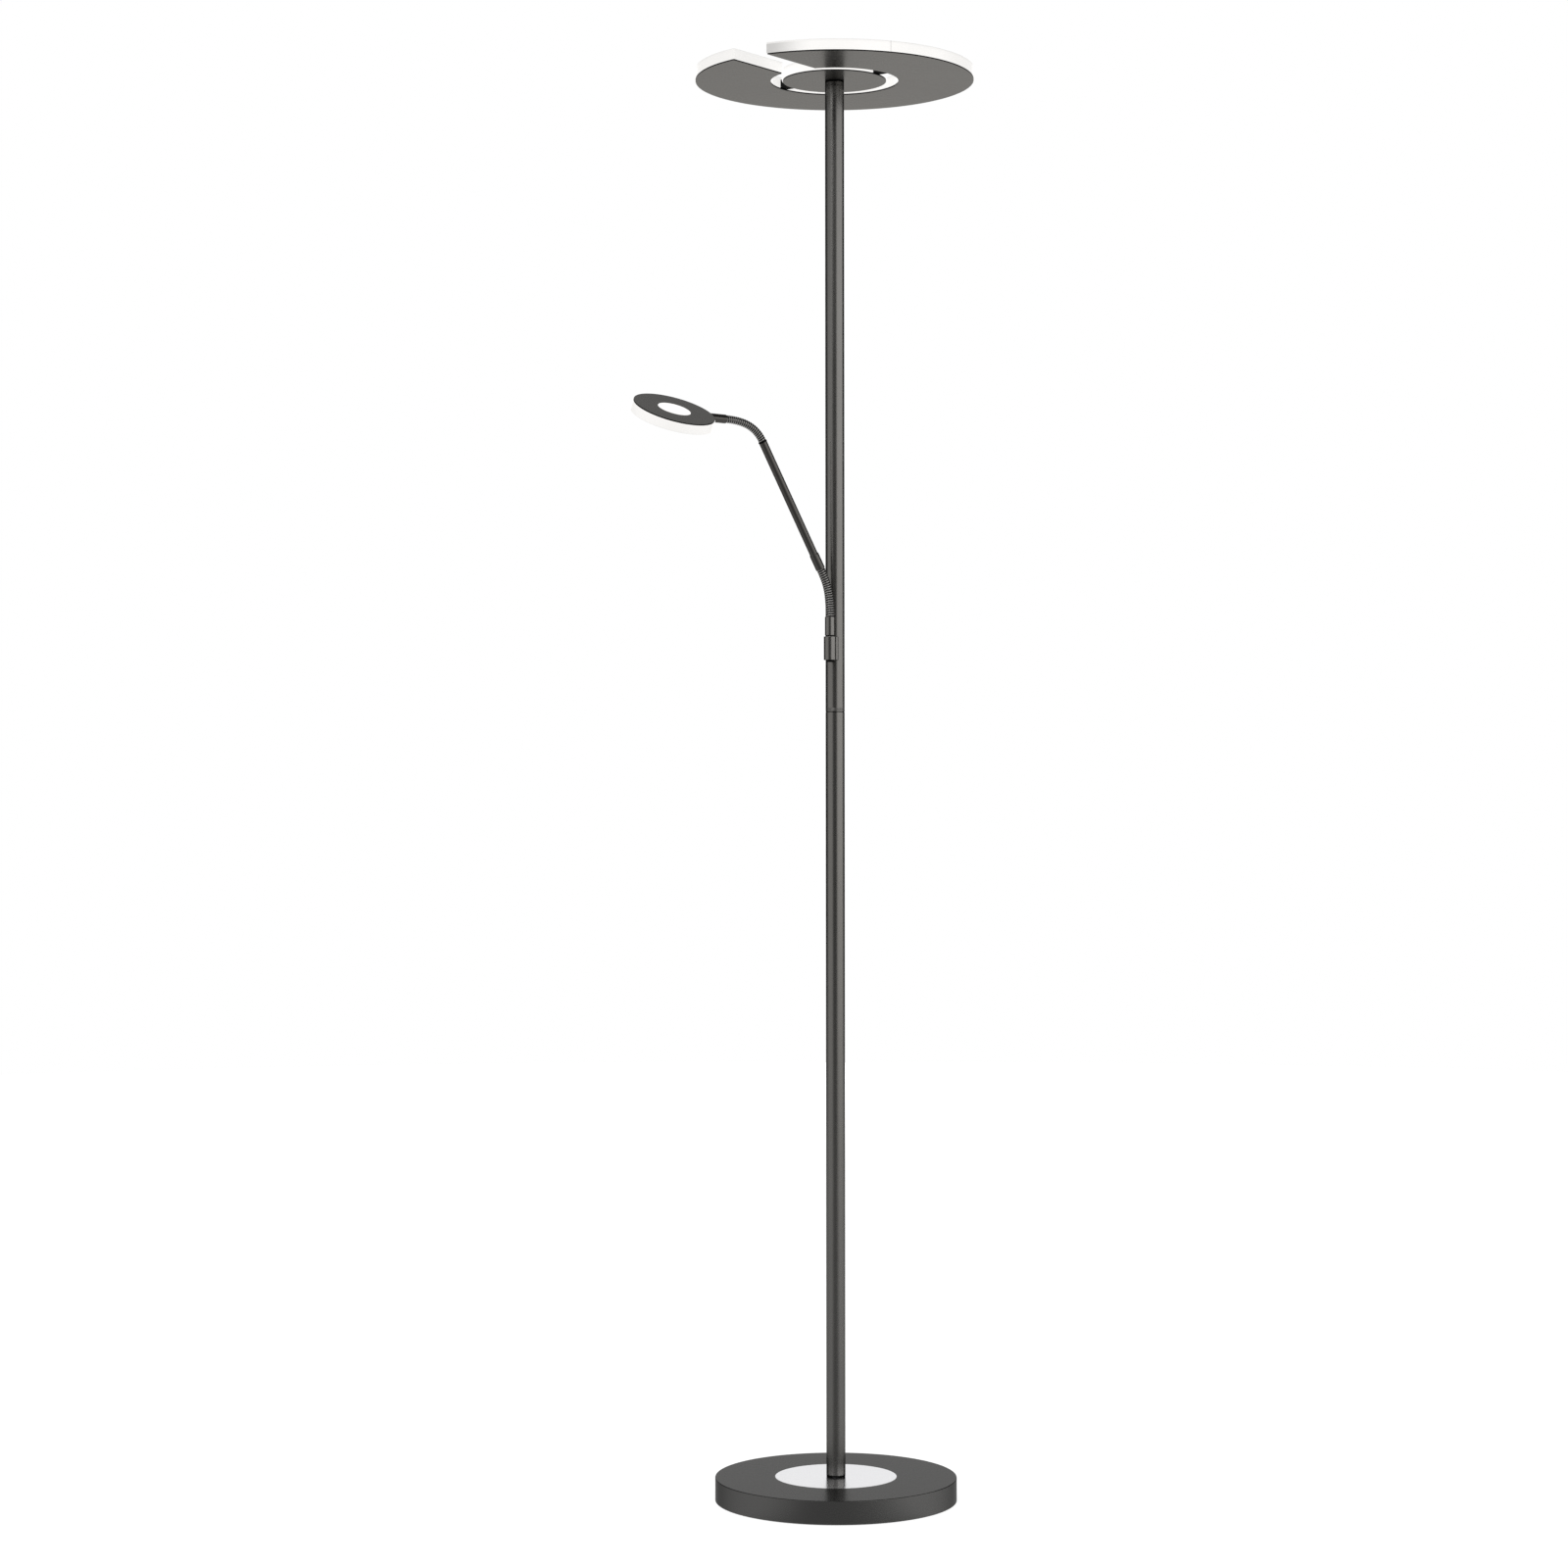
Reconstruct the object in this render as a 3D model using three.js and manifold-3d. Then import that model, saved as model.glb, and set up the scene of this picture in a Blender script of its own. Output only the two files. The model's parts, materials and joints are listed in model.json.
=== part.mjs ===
// Torchiere floor lamp with a flexible reading arm, in millimetres, +Z up.
// The origin is on the floor, on the pole's axis. +X is the lamp's right and -Y its front.
import * as THREE from 'three';
import { mergeVertices } from 'three/addons/utils/BufferGeometryUtils.js';
import Module from 'manifold-3d';

const wasm = await Module();
wasm.setup();

// ---- Driving dimensions ----

const height = 1800;

// Clearances
const slip = 0.15; // a part that slides into a tube or over a thread
const gap = 0.3; // between pieces that meet on a slant or a curve
const past = 1; // how far a cut runs past the face that it opens

// Base
const baseR = 152;
const baseHeight = 30;
const coverWall = 1.5;
const coverEdge = 2;
const coverLift = 1; // the cover's rim stands clear of the floor
const inlayR = 76.5;
const inlayThickness = 1.5;
const padThickness = 2;
const padInset = 5;
const ballastThickness = 9;
const bossR = 32;
const gutterWidth = 9; // the channel that the driver's lead lies in

// LED driver, on the rear side of the base
const driverLength = 84;
const driverWidth = 40;
const driverHeight = 19;
const driverEdge = 2;
const driverInset = 60; // from the base's rim to the driver's middle
const pocketClear = 2;

// Mains inlet gland
const glandBore = 3.6;
const glandR = 5.5;
const glandFlangeR = 8;
const glandFlange = 2;
const glandEdge = 1;
const glandLockR = 7.1;
const glandLock = 2;
const glandLockGap = 1.2; // between the cover's wall and the lock ring, for the spring leaves

// Threaded nipples, nuts and washers
const baseNippleR = 5;
const baseNippleBore = 3.4;
const baseNutFlats = 15;
const baseNutHeight = 4;
const nippleEnd = 0.5; // a nipple shows this far past its nut
const nippleShort = 4; // the base nipple ends this far below the foot's top
const baseWasherR = 12;
const washerThickness = 1;
const headNippleR = 4;
const headNippleBore = 2.9;
const headNutFlats = 12;
const headNutHeight = 3;
const headWasherR = 6;

// Pole
const poleR = 12;
const poleWall = 1.2;
const seamHeight = 992;
const seamChamfer = 0.5;
const insertLength = 22;
const studR = 6;
const studLength = 14;
const collarHeight = 6.4;
const cableR = 2.2;
const leadR = 2.2;
const leadBend = 9; // radius of the lead's turn up into the pole

// Uplight head
const plateThickness = 1.5;
const headThickness = 14.4;
const ringR = 175;
const holeR = 80.5;
const hubR = 65;
const slotWidth = 51.5;
const slotAzimuth = 233;
const diffuserLip = 1; // the diffusers stand this far proud of their plates
const diffuserWall = 2;
const diffuserEdge = 1;
const barWidth = 15;
const barWall = 1.2;
const barLength = 226;
const barClear = 0.5;
const barScrewInset = 8; // from the bar's ends to its screws
const barHeadroom = 0.9; // between the bar and the diffusers' tops
const boardThickness = 1.6;
const boardMargin = 6;
const ledSize = 5;
const ledHeight = 0.8;
const ledSink = 0.5; // an LED's body starts this far inside its board
const ringLedStart = 5; // degrees from the slot to the first LED
const ringLedCount = 14;
const hubLedCount = 4; // on each of the two hub boards
const screwR = 1.6;
const screwHeadR = 3;
const screwHeadHeight = 1.8;
const screwDomeR = 1.8; // the flat top of the head
const screwRimHeight = 1.1;
const screwBite = 1.1; // how deep the bar's screws go into the ring plate

// Reading arm's bracket
const bracketStandoff = 0.75; // between the pole and the socket, filled by the saddle
const bracketAzimuth = 251;
const socketR = 7.75;
const socketBottom = 1056.5;
const socketHeight = 29.5;
const socketFloor = 3;
const saddleWidth = 17;
const saddleRound = 4;
const stubR = 5;
const stubClear = 0.1;
const swivelWasher = 0.5;
const pivotScrewR = 2;
const pivotHeadR = 4.5;
const pivotHeadHeight = 2.4;
const pivotRimHeight = 1;
const pivotDomeR = 2.7;
const tapDepth = 10; // of the pivot screw's thread in the swivel's stub
const tapEnd = 1; // left free at the end of a blind hole
const bracketNippleR = 3;
const bracketNippleBore = 1.8;
const bracketNutFlats = 9;
const bracketNutHeight = 2.4;

// Reading arm, from the bracket outwards
const armAzimuth = 214;
const ferruleR = 6.35;
const ferruleHeight = 24.3;
const ferruleEdge = 0.8;
const lowerFlexR = 5.5;
const lowerLink = 12.4;
const lowerBends = [4, 3, 9, 10, 3.4]; // degrees at each hinge, at rest
const armCollarR = 5.9;
const armCollarLength = 21;
const armTubeR = 5.1;
const armTubeLength = 156.5;
const armTubeWall = 1;
const tubeRingR = 5.5;
const tubeRingLength = 1.6;
const upperFlexR = 5;
const upperLink = 10.4;
const upperBends = [14, 14.5, 12.5, 9, 6, 3.5];
const hingeGap = 2.2; // between one link's end and the next, round their ball
const ballR = 3.3;
const ballClear = 0.3;
const neckR = 5.4;
const neckLength = 23;
const neckEdge = 0.6;

// Reading head
const readingR = 51;
const readingHole = 20.7;
const readingThickness = 13.2;
const readingPlate = 1.5;
const readingLip = 1;
const readingWall = 1.8;
const readingRoll = 26.7; // degrees about its stub, towards the front
const headGap = 1.2; // between the neck and the head's rim
const readingStubR = 3.1;
const readingStubDepth = 8;
const readingStubFlange = 4.6;
const readingFoot = 3;
const readingLedCount = 8;
const readingEdge = 1;
const readingMargin = 4; // from the head's wall to its board
const windowRim = 2; // the window's rim under the plate

// ---- Sizes that follow ----

const rad = THREE.MathUtils.degToRad;
const tubeBore = poleR - poleWall;
const insertR = tubeBore - slip;
const driverCentreY = baseR - driverInset;
const glandHeight = baseHeight / 2;
const coverTopInside = baseHeight - coverWall;
const recessFloor = baseHeight - inlayThickness;
const bossTop = recessFloor - coverWall;
const leadHeight = padThickness + leadR + slip;
const baseNippleLow = leadHeight + leadBend;
const baseNutLow = baseNippleLow + nippleEnd;
const baseWasherLow = baseNutLow + baseNutHeight;
const recessTop = baseWasherLow + washerThickness;
const headBottom = height - headThickness;
const headPlateTop = headBottom + plateThickness;
const poleTop = headBottom - collarHeight;
const barHeight = headThickness - plateThickness - diffuserWall - barHeadroom;
const headNippleTop = headPlateTop + barWall + washerThickness + headNutHeight + 2 * nippleEnd;
const socketTop = socketBottom + socketHeight;
const bracketOffset = poleR + bracketStandoff + socketR; // from the pole's axis to the socket's
const ferruleBottom = socketTop + swivelWasher;
const bracketX = bracketOffset * Math.cos(rad(bracketAzimuth));
const bracketY = bracketOffset * Math.sin(rad(bracketAzimuth));

// ---- Materials ----

const paint = (color) => new THREE.MeshStandardMaterial({ color, roughness: 0.45, metalness: 0.4 });
const charcoal = () => paint(0x4a4846);
const darkPaint = () => paint(0x2c2b2a);
const steel = () => new THREE.MeshStandardMaterial({ color: 0xd8d8da, roughness: 0.3, metalness: 1 });
const zinc = () => new THREE.MeshStandardMaterial({ color: 0xa8a9a6, roughness: 0.45, metalness: 0.9 });
const iron = () => new THREE.MeshStandardMaterial({ color: 0x3b3a38, roughness: 0.8, metalness: 0.5 });
const opal = () => new THREE.MeshStandardMaterial({ color: 0xf6f4ef, roughness: 0.35, metalness: 0 });
const plastic = (color) => new THREE.MeshStandardMaterial({ color, roughness: 0.6, metalness: 0 });
const blackPlastic = () => plastic(0x1c1c1c);
const felt = () => new THREE.MeshStandardMaterial({ color: 0x26262a, roughness: 0.95, metalness: 0 });
const board = () => plastic(0xe9e8e2);

// ---- Shape helpers ----

// A closed solid from a geometry, ready to join and cut.
function solid(geometry) {
  const bare = geometry.index ? geometry.toNonIndexed() : geometry.clone();
  bare.deleteAttribute('normal');
  bare.deleteAttribute('uv');
  const merged = mergeVertices(bare, 1e-4);
  const mesh = new wasm.Mesh({
    numProp: 3,
    vertProperties: new Float32Array(merged.attributes.position.array),
    triVerts: new Uint32Array(merged.index.array),
  });
  return new wasm.Manifold(mesh);
}

// The geometry of a joined or cut solid.
function surface(body) {
  const mesh = body.getMesh();
  const geometry = new THREE.BufferGeometry();
  geometry.setAttribute('position', new THREE.BufferAttribute(new Float32Array(mesh.vertProperties), 3));
  geometry.setIndex(new THREE.BufferAttribute(new Uint32Array(mesh.triVerts), 1));
  return geometry;
}

// A geometry turned round Z, with points given as [radius, z].
function turned(points, segments = 16) {
  const profile = points.map(([r, z]) => new THREE.Vector2(r, z));
  return new THREE.LatheGeometry(profile, segments).rotateX(Math.PI / 2);
}

// A disc or, with a bore, a ring, from one height to another.
function disc(radius, low, high, bore = 0, segments = 16) {
  const points = bore > 0
    ? [[bore, low], [radius, low], [radius, high], [bore, high], [bore, low]]
    : [[0, low], [radius, low], [radius, high], [0, high]];
  return turned(points, segments);
}

function block(x, y, low, high) {
  return new THREE.BoxGeometry(x, y, high - low).translate(0, 0, (low + high) / 2);
}

// A hexagonal nut with its bore, standing on the given height.
function nut(flats, low, high, bore) {
  const body = solid(disc(flats / Math.sqrt(3), low, high, 0, 6));
  return surface(body.subtract(solid(disc(bore, low - 1, high + 1, 0, 20))));
}

// Points along an arc of the [radius, z] plane, from one angle to another in degrees.
function arc(r, z, radius, from, to, steps) {
  return Array.from({ length: steps + 1 }, (_, i) => {
    const angle = rad(from + (to - from) * i / steps);
    return [r + radius * Math.cos(angle), z + radius * Math.sin(angle)];
  });
}

const lamp = new THREE.Group();

function add(name, geometry, material, parent = lamp) {
  const mesh = new THREE.Mesh(geometry, material);
  mesh.name = name;
  parent.add(mesh);
  return mesh;
}

// ---- Base ----

const padR = baseR - padInset;
const ballastR = baseR - coverWall - gap;
const ballastTop = padThickness + ballastThickness;
const pocketLength = driverLength + 2 * pocketClear;
const pocketWidth = driverWidth + 2 * pocketClear;
const driverFront = driverCentreY - driverWidth / 2;

add('felt_pad', disc(padR, 0, padThickness, 0, 48), felt());

function makeBallast() {
  const casting = solid(turned([
    [baseNippleR + gap, padThickness],
    [ballastR, padThickness],
    [ballastR, ballastTop],
    [bossR, ballastTop],
    [bossR, bossTop],
    [baseNippleR + gap, bossTop],
    [baseNippleR + gap, padThickness],
  ], 48));
  const low = padThickness - past;
  const pocket = block(pocketLength, pocketWidth, low, bossTop + past).translate(0, driverCentreY, 0);
  const gutterLength = driverFront;
  const gutter = block(gutterWidth, gutterLength, low, leadHeight + leadR + past)
    .translate(0, gutterLength / 2, 0);
  const inletLength = baseR - driverCentreY;
  const inlet = block(2 * (glandFlangeR + pocketClear / 2), inletLength, low, ballastTop + past)
    .translate(0, driverCentreY + inletLength / 2, 0);
  const recess = disc(baseWasherR + pocketClear / 2, low, recessTop);
  const cuts = [pocket, inlet, gutter, recess].map(solid);
  return surface(cuts.reduce((body, cut) => body.subtract(cut), casting));
}
add('ballast', makeBallast(), iron());

function makeCover() {
  const edge = arc(baseR - coverEdge, baseHeight - coverEdge, coverEdge, 0, 90, 2);
  const shell = solid(turned([
    [baseR - coverWall, coverLift],
    [baseR, coverLift],
    ...edge,
    [inlayR + slip, baseHeight],
    [inlayR + slip, recessFloor],
    [baseNippleR + slip, recessFloor],
    [baseNippleR + slip, bossTop],
    [inlayR + slip + coverWall, bossTop],
    [inlayR + slip + coverWall, coverTopInside],
    [baseR - coverWall, coverTopInside],
    [baseR - coverWall, coverLift],
  ], 48));
  const hole = disc(glandR + slip, 0, 3 * coverWall, 0, 24)
    .rotateX(-Math.PI / 2)
    .translate(0, baseR - 2 * coverWall, glandHeight);
  return surface(shell.subtract(solid(hole)));
}
add('base_cover', makeCover(), charcoal());

add('steel_inlay', disc(inlayR, recessFloor, baseHeight, baseNippleR + slip, 48), steel());

add('base_washer', disc(baseWasherR, baseWasherLow, recessTop, baseNippleR + slip), zinc());
add('base_nut', nut(baseNutFlats, baseNutLow, baseWasherLow, baseNippleR + slip), zinc());
const footTop = baseHeight + insertLength;
add('base_nipple', disc(baseNippleR, baseNippleLow, footTop - nippleShort, baseNippleBore), zinc());

// The gland's neck fills the hole in the cover, and its flange and lock ring hold the wall between them.
// It is turned flat, then stood in the rear wall.
function makeGland() {
  const flangeLow = baseR + gap;
  const flangeHigh = flangeLow + glandFlange;
  const lockHigh = baseR - coverWall - gap - glandLockGap - glandEdge;
  const lockLow = lockHigh - glandLock;
  return turned([
    [glandBore, lockLow],
    [glandLockR, lockLow],
    [glandLockR, lockHigh],
    [glandR, lockHigh],
    [glandR, flangeLow],
    [glandFlangeR, flangeLow],
    [glandFlangeR, flangeHigh - glandEdge],
    [glandFlangeR - glandEdge, flangeHigh],
    [glandBore, flangeHigh],
    [glandBore, lockLow],
  ], 16).rotateX(-Math.PI / 2).translate(0, 0, glandHeight);
}
add('cable_gland', makeGland(), blackPlastic());

function roundedBox(x, y, z, edge) {
  const shape = new THREE.Shape();
  const a = x / 2;
  const b = y / 2;
  shape.moveTo(-a + edge, -b);
  shape.lineTo(a - edge, -b);
  shape.absarc(a - edge, -b + edge, edge, -Math.PI / 2, 0);
  shape.lineTo(a, b - edge);
  shape.absarc(a - edge, b - edge, edge, 0, Math.PI / 2);
  shape.lineTo(-a + edge, b);
  shape.absarc(-a + edge, b - edge, edge, Math.PI / 2, Math.PI);
  shape.lineTo(-a, -b + edge);
  shape.absarc(-a + edge, -b + edge, edge, Math.PI, 3 * Math.PI / 2);
  return new THREE.ExtrudeGeometry(shape, { depth: z, bevelEnabled: false, curveSegments: 3 });
}
add(
  'led_driver',
  roundedBox(driverLength, driverWidth, driverHeight, driverEdge).translate(0, driverCentreY, padThickness),
  plastic(0xd9d9d6),
);

// The lead lies in the ballast's channel and turns up into the base nipple.
function makeLead() {
  const path = new THREE.CurvePath();
  const start = new THREE.Vector3(0, driverFront - gap, leadHeight);
  const corner = new THREE.Vector3(0, 0, leadHeight);
  const before = new THREE.Vector3(0, leadBend, leadHeight);
  const after = new THREE.Vector3(0, 0, leadHeight + leadBend);
  path.add(new THREE.LineCurve3(start, before));
  path.add(new THREE.QuadraticBezierCurve3(before, corner, after));
  path.add(new THREE.LineCurve3(after, new THREE.Vector3(0, 0, baseHeight)));
  const section = new THREE.Shape().absarc(0, 0, leadR, 0, 2 * Math.PI);
  return new THREE.ExtrudeGeometry(section, { steps: 20, curveSegments: 4, extrudePath: path });
}
add('driver_lead', makeLead(), blackPlastic());

// ---- Pole ----

const seamLow = seamHeight - insertLength;
const seamHigh = seamHeight + insertLength;
const topInsertLow = poleTop - insertLength;

add('pole_foot', disc(insertR, baseHeight, footTop, baseNippleR + slip), zinc());
add('pole_lower', turned([
  [tubeBore, baseHeight],
  [poleR, baseHeight],
  [poleR, seamHeight - seamChamfer],
  [poleR - seamChamfer, seamHeight],
  [tubeBore, seamHeight],
  [tubeBore, baseHeight],
], 28), charcoal());
add('joint_stud', turned([
  [baseNippleBore, seamLow],
  [insertR, seamLow],
  [insertR, seamHeight - slip],
  [studR, seamHeight - slip],
  [studR, seamHeight + studLength],
  [baseNippleBore, seamHeight + studLength],
  [baseNippleBore, seamLow],
]), zinc());
add('joint_socket', disc(insertR, seamHeight, seamHigh, studR + slip), zinc());

function makeUpperPole() {
  const tube = solid(turned([
    [tubeBore, seamHeight],
    [poleR - seamChamfer, seamHeight],
    [poleR, seamHeight + seamChamfer],
    [poleR, poleTop],
    [tubeBore, poleTop],
    [tubeBore, seamHeight],
  ], 28));
  const hole = disc(bracketNippleR + slip, 0, poleR + past, 0, 20)
    .rotateY(Math.PI / 2)
    .rotateZ(rad(bracketAzimuth))
    .translate(0, 0, socketBottom + socketHeight / 2);
  return surface(tube.subtract(solid(hole)));
}
add('pole_upper', makeUpperPole(), charcoal());
add('top_insert', disc(insertR, topInsertLow, poleTop, headNippleR + slip), zinc());
add('pole_collar', disc(poleR, poleTop, headBottom, headNippleR + slip, 28), charcoal());
add('pole_cable', disc(cableR, baseHeight + gap, headNippleTop + nippleEnd, 0, 8), blackPlastic());

// ---- Uplight head ----

// A ring with a straight slot from its rim to its hole, cut along one direction.
function slottedRing(outer, inner, width, low, high) {
  const half = width / 2;
  const a = Math.asin(half / outer);
  const b = Math.asin(half / inner);
  const along = rad(slotAzimuth);
  const shape = new THREE.Shape();
  shape.absarc(0, 0, outer, along + a, along + 2 * Math.PI - a, false);
  shape.absarc(0, 0, inner, along + 2 * Math.PI - b, along + b, true);
  const depth = high - low;
  return new THREE.ExtrudeGeometry(shape, { depth, bevelEnabled: false, curveSegments: 28 })
    .translate(0, 0, low);
}

const barAxis = rad(slotAzimuth - 90); // the bar lies square to the slot
const barFloorTop = headPlateTop + barWall;
const barScrewAt = barLength / 2 - barScrewInset;
const barScrewPlaces = [-barScrewAt, barScrewAt];

// The room that a diffuser's wall leaves for the bar.
function barNotch(length) {
  return block(length, barWidth + 2 * barClear, headPlateTop - past, headPlateTop + barHeight + barClear)
    .rotateZ(barAxis);
}

const barScrewPoints = barScrewPlaces.map((s) => [s * Math.cos(barAxis), s * Math.sin(barAxis)]);
add('hub_plate', disc(hubR, headBottom, headPlateTop, headNippleR + slip, 40), charcoal());

// The bar's screws thread into blind holes in the ring plate, so its underside is plain.
function makeRingPlate() {
  const flat = solid(slottedRing(ringR, holeR, slotWidth, headBottom, headPlateTop));
  const holes = barScrewPoints.map(([x, y]) => solid(
    disc(screwR + slip, headPlateTop - screwBite, headPlateTop + past, 0, 16).translate(x, y, 0),
  ));
  return surface(holes.reduce((body, hole) => body.subtract(hole), flat));
}
add('ring_plate', makeRingPlate(), charcoal());

function makeBar() {
  const outer = solid(block(barLength, barWidth, headPlateTop, headPlateTop + barHeight));
  const roomTop = headPlateTop + barHeight + past;
  const room = solid(block(barLength + 2 * past, barWidth - 2 * barWall, barFloorTop, roomTop));
  const holes = [solid(disc(headNippleR + slip, headPlateTop - past, barFloorTop + past, 0, 20))];
  for (const s of barScrewPlaces) {
    holes.push(solid(disc(screwR + slip, headPlateTop - past, barFloorTop + past, 0, 16).translate(s, 0, 0)));
  }
  return surface(holes.reduce((body, hole) => body.subtract(hole), outer.subtract(room))).rotateZ(barAxis);
}
add('cross_bar', makeBar(), darkPaint());

const headWasherTop = barFloorTop + washerThickness;
const headNutTop = headWasherTop + headNutHeight;
add('head_washer', disc(headWasherR, barFloorTop, headWasherTop, headNippleR + slip), zinc());
add('head_nut', nut(headNutFlats, headWasherTop, headNutTop, headNippleR + slip)
  .rotateZ(barAxis + Math.PI / 2), zinc());
add('head_nipple', disc(headNippleR, topInsertLow + nippleShort / 2, headNippleTop, headNippleBore), zinc());

barScrewPoints.forEach(([x, y], i) => {
  const screw = turned([
    [0, headPlateTop - screwBite + slip],
    [screwR, headPlateTop - screwBite + slip],
    [screwR, barFloorTop],
    [screwHeadR, barFloorTop],
    [screwHeadR, barFloorTop + screwRimHeight],
    [screwDomeR, barFloorTop + screwHeadHeight],
    [0, barFloorTop + screwHeadHeight],
  ], 16).translate(x, y, 0);
  add(`bar_screw_${i + 1}`, screw, zinc());
});

// The LEDs stand on their board in one row.
function withLeds(boardSolid, boardTop, points) {
  return surface(points.reduce((body, [x, y, turn]) => {
    const led = block(ledSize, ledSize, boardTop - ledSink, boardTop + ledHeight);
    return body.add(solid(led.rotateZ(turn).translate(x, y, 0)));
  }, boardSolid));
}

const boardTop = headPlateTop + boardThickness;
const ringBoardInner = barLength / 2 + barClear;
const ringBoardOuter = ringR + diffuserLip - diffuserWall - boardMargin;
const ringLedR = (ringBoardInner + ringBoardOuter) / 2;
function makeRingBoard() {
  const width = slotWidth + 2 * (diffuserWall + boardMargin);
  const flat = solid(slottedRing(ringBoardOuter, ringBoardInner, width, headPlateTop, boardTop));
  const from = Math.asin(width / 2 / ringBoardInner) + rad(ringLedStart);
  const step = (2 * Math.PI - 2 * from) / (ringLedCount - 1);
  const points = Array.from({ length: ringLedCount }, (_, i) => {
    const angle = rad(slotAzimuth) + from + i * step;
    return [ringLedR * Math.cos(angle), ringLedR * Math.sin(angle), angle];
  });
  return withLeds(flat, boardTop, points);
}
add('ring_led_board', makeRingBoard(), board());

// Each hub board is the round hub's segment on one side of the bar.
const hubBoardR = hubR + diffuserLip - diffuserWall - boardMargin;
const hubBoardEdge = barWidth / 2 + pocketClear;
function makeHubBoard(side) {
  const start = Math.asin(hubBoardEdge / hubBoardR);
  const shape = new THREE.Shape();
  shape.absarc(0, 0, hubBoardR, start, Math.PI - start, false);
  const sheet = { depth: boardThickness, bevelEnabled: false, curveSegments: 24 };
  const flat = new THREE.ExtrudeGeometry(shape, sheet).translate(0, 0, headPlateTop);
  const ledR = (hubBoardEdge + hubBoardR) / 2;
  const points = Array.from({ length: hubLedCount }, (_, i) => {
    const angle = Math.PI * (i + 0.5) / hubLedCount;
    return [ledR * Math.cos(angle), ledR * Math.sin(angle), angle];
  });
  return withLeds(solid(flat), boardTop, points).rotateZ(barAxis + side * Math.PI);
}
add('hub_led_board_1', makeHubBoard(0), board());
add('hub_led_board_2', makeHubBoard(1), board());

function makeHubDiffuser() {
  const r = hubR + diffuserLip;
  const cup = solid(turned([
    [r - diffuserWall, headPlateTop],
    [r, headPlateTop],
    [r, height - diffuserEdge],
    [r - diffuserEdge, height],
    [0, height],
    [0, height - diffuserWall],
    [r - diffuserWall, height - diffuserWall],
    [r - diffuserWall, headPlateTop],
  ], 40));
  return surface(cup.subtract(solid(barNotch(barLength))));
}
add('hub_diffuser', makeHubDiffuser(), opal());

function makeRingDiffuser() {
  const skin = slottedRing(
    ringR + diffuserLip, holeR - diffuserLip, slotWidth - 2 * diffuserLip, headPlateTop, height,
  );
  const inset = diffuserWall - diffuserLip;
  const room = slottedRing(
    ringR - inset, holeR + inset, slotWidth + 2 * inset, headPlateTop - past, height - diffuserWall,
  );
  return surface(solid(skin).subtract(solid(room)).subtract(solid(barNotch(barLength))));
}
add('ring_diffuser', makeRingDiffuser(), opal());

// ---- Reading arm's bracket ----

// The bracket's frame has +X pointing away from the pole, and its origin on the pole's axis.
const bracketFrame = new THREE.Group();
bracketFrame.rotation.z = rad(bracketAzimuth);
lamp.add(bracketFrame);
const bracketMiddle = socketBottom + socketHeight / 2;

// A round piece or nut laid along the bracket's +X, at the bracket's middle.
function radial(geometry) {
  return geometry.rotateY(Math.PI / 2).translate(0, 0, bracketMiddle);
}

function makeBracket() {
  const saddle = solid(roundedBox(socketHeight, saddleWidth, bracketOffset, saddleRound)
    .rotateY(Math.PI / 2)
    .translate(0, 0, bracketMiddle));
  const barrel = solid(disc(socketR, socketBottom, socketTop, 0, 28).translate(bracketOffset, 0, 0));
  const pole = solid(disc(poleR + gap, socketBottom - past, socketTop + past, 0, 28));
  const bore = solid(disc(stubR + stubClear, socketBottom + socketFloor, socketTop + past, 0, 28)
    .translate(bracketOffset, 0, 0));
  const floorTop = socketBottom + socketFloor;
  const screwHole = solid(disc(pivotScrewR + slip, socketBottom - past, floorTop + past, 0, 16)
    .translate(bracketOffset, 0, 0));
  const wireHole = solid(radial(disc(bracketNippleR + slip, 0, bracketOffset - stubR + past)));
  return surface(barrel.add(saddle).subtract(pole).subtract(bore).subtract(screwHole).subtract(wireHole));
}
add('arm_bracket', makeBracket(), charcoal(), bracketFrame);

const bracketNutFar = Math.sqrt(tubeBore ** 2 - bracketNutFlats ** 2 / 3) - gap;
const bracketNutNear = bracketNutFar - bracketNutHeight;
const bracketNippleFar = bracketOffset - stubR - stubClear - gap;
const bracketNipple = disc(bracketNippleR, bracketNutNear, bracketNippleFar, bracketNippleBore);
const bracketNut = nut(bracketNutFlats, bracketNutNear, bracketNutFar, bracketNippleR + slip);
add('bracket_nipple', radial(bracketNipple), zinc(), bracketFrame);
add('bracket_nut', radial(bracketNut), zinc(), bracketFrame);

// ---- Reading arm ----

// Each stretch hangs in the group of the one before it, along that group's +Z, from the ferrule upwards.
const swivel = new THREE.Group();
swivel.position.set(bracketX, bracketY, ferruleBottom);
swivel.rotation.z = rad(armAzimuth);
lamp.add(swivel);

const socketDepth = socketHeight - socketFloor;
const stubLength = socketDepth - tapEnd + swivelWasher;
add('swivel_washer', disc(ferruleR, -swivelWasher, 0, stubR + stubClear, 28), plastic(0x161616), swivel);
add('swivel_ferrule', turned([
  [pivotScrewR + slip, -stubLength],
  [stubR, -stubLength],
  [stubR, 0],
  [ferruleR - ferruleEdge, 0],
  [ferruleR, ferruleEdge],
  [ferruleR, ferruleHeight],
  [0, ferruleHeight],
  [0, tapDepth - stubLength],
  [pivotScrewR + slip, tapDepth - stubLength],
  [pivotScrewR + slip, -stubLength],
], 28), charcoal(), swivel);

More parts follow.
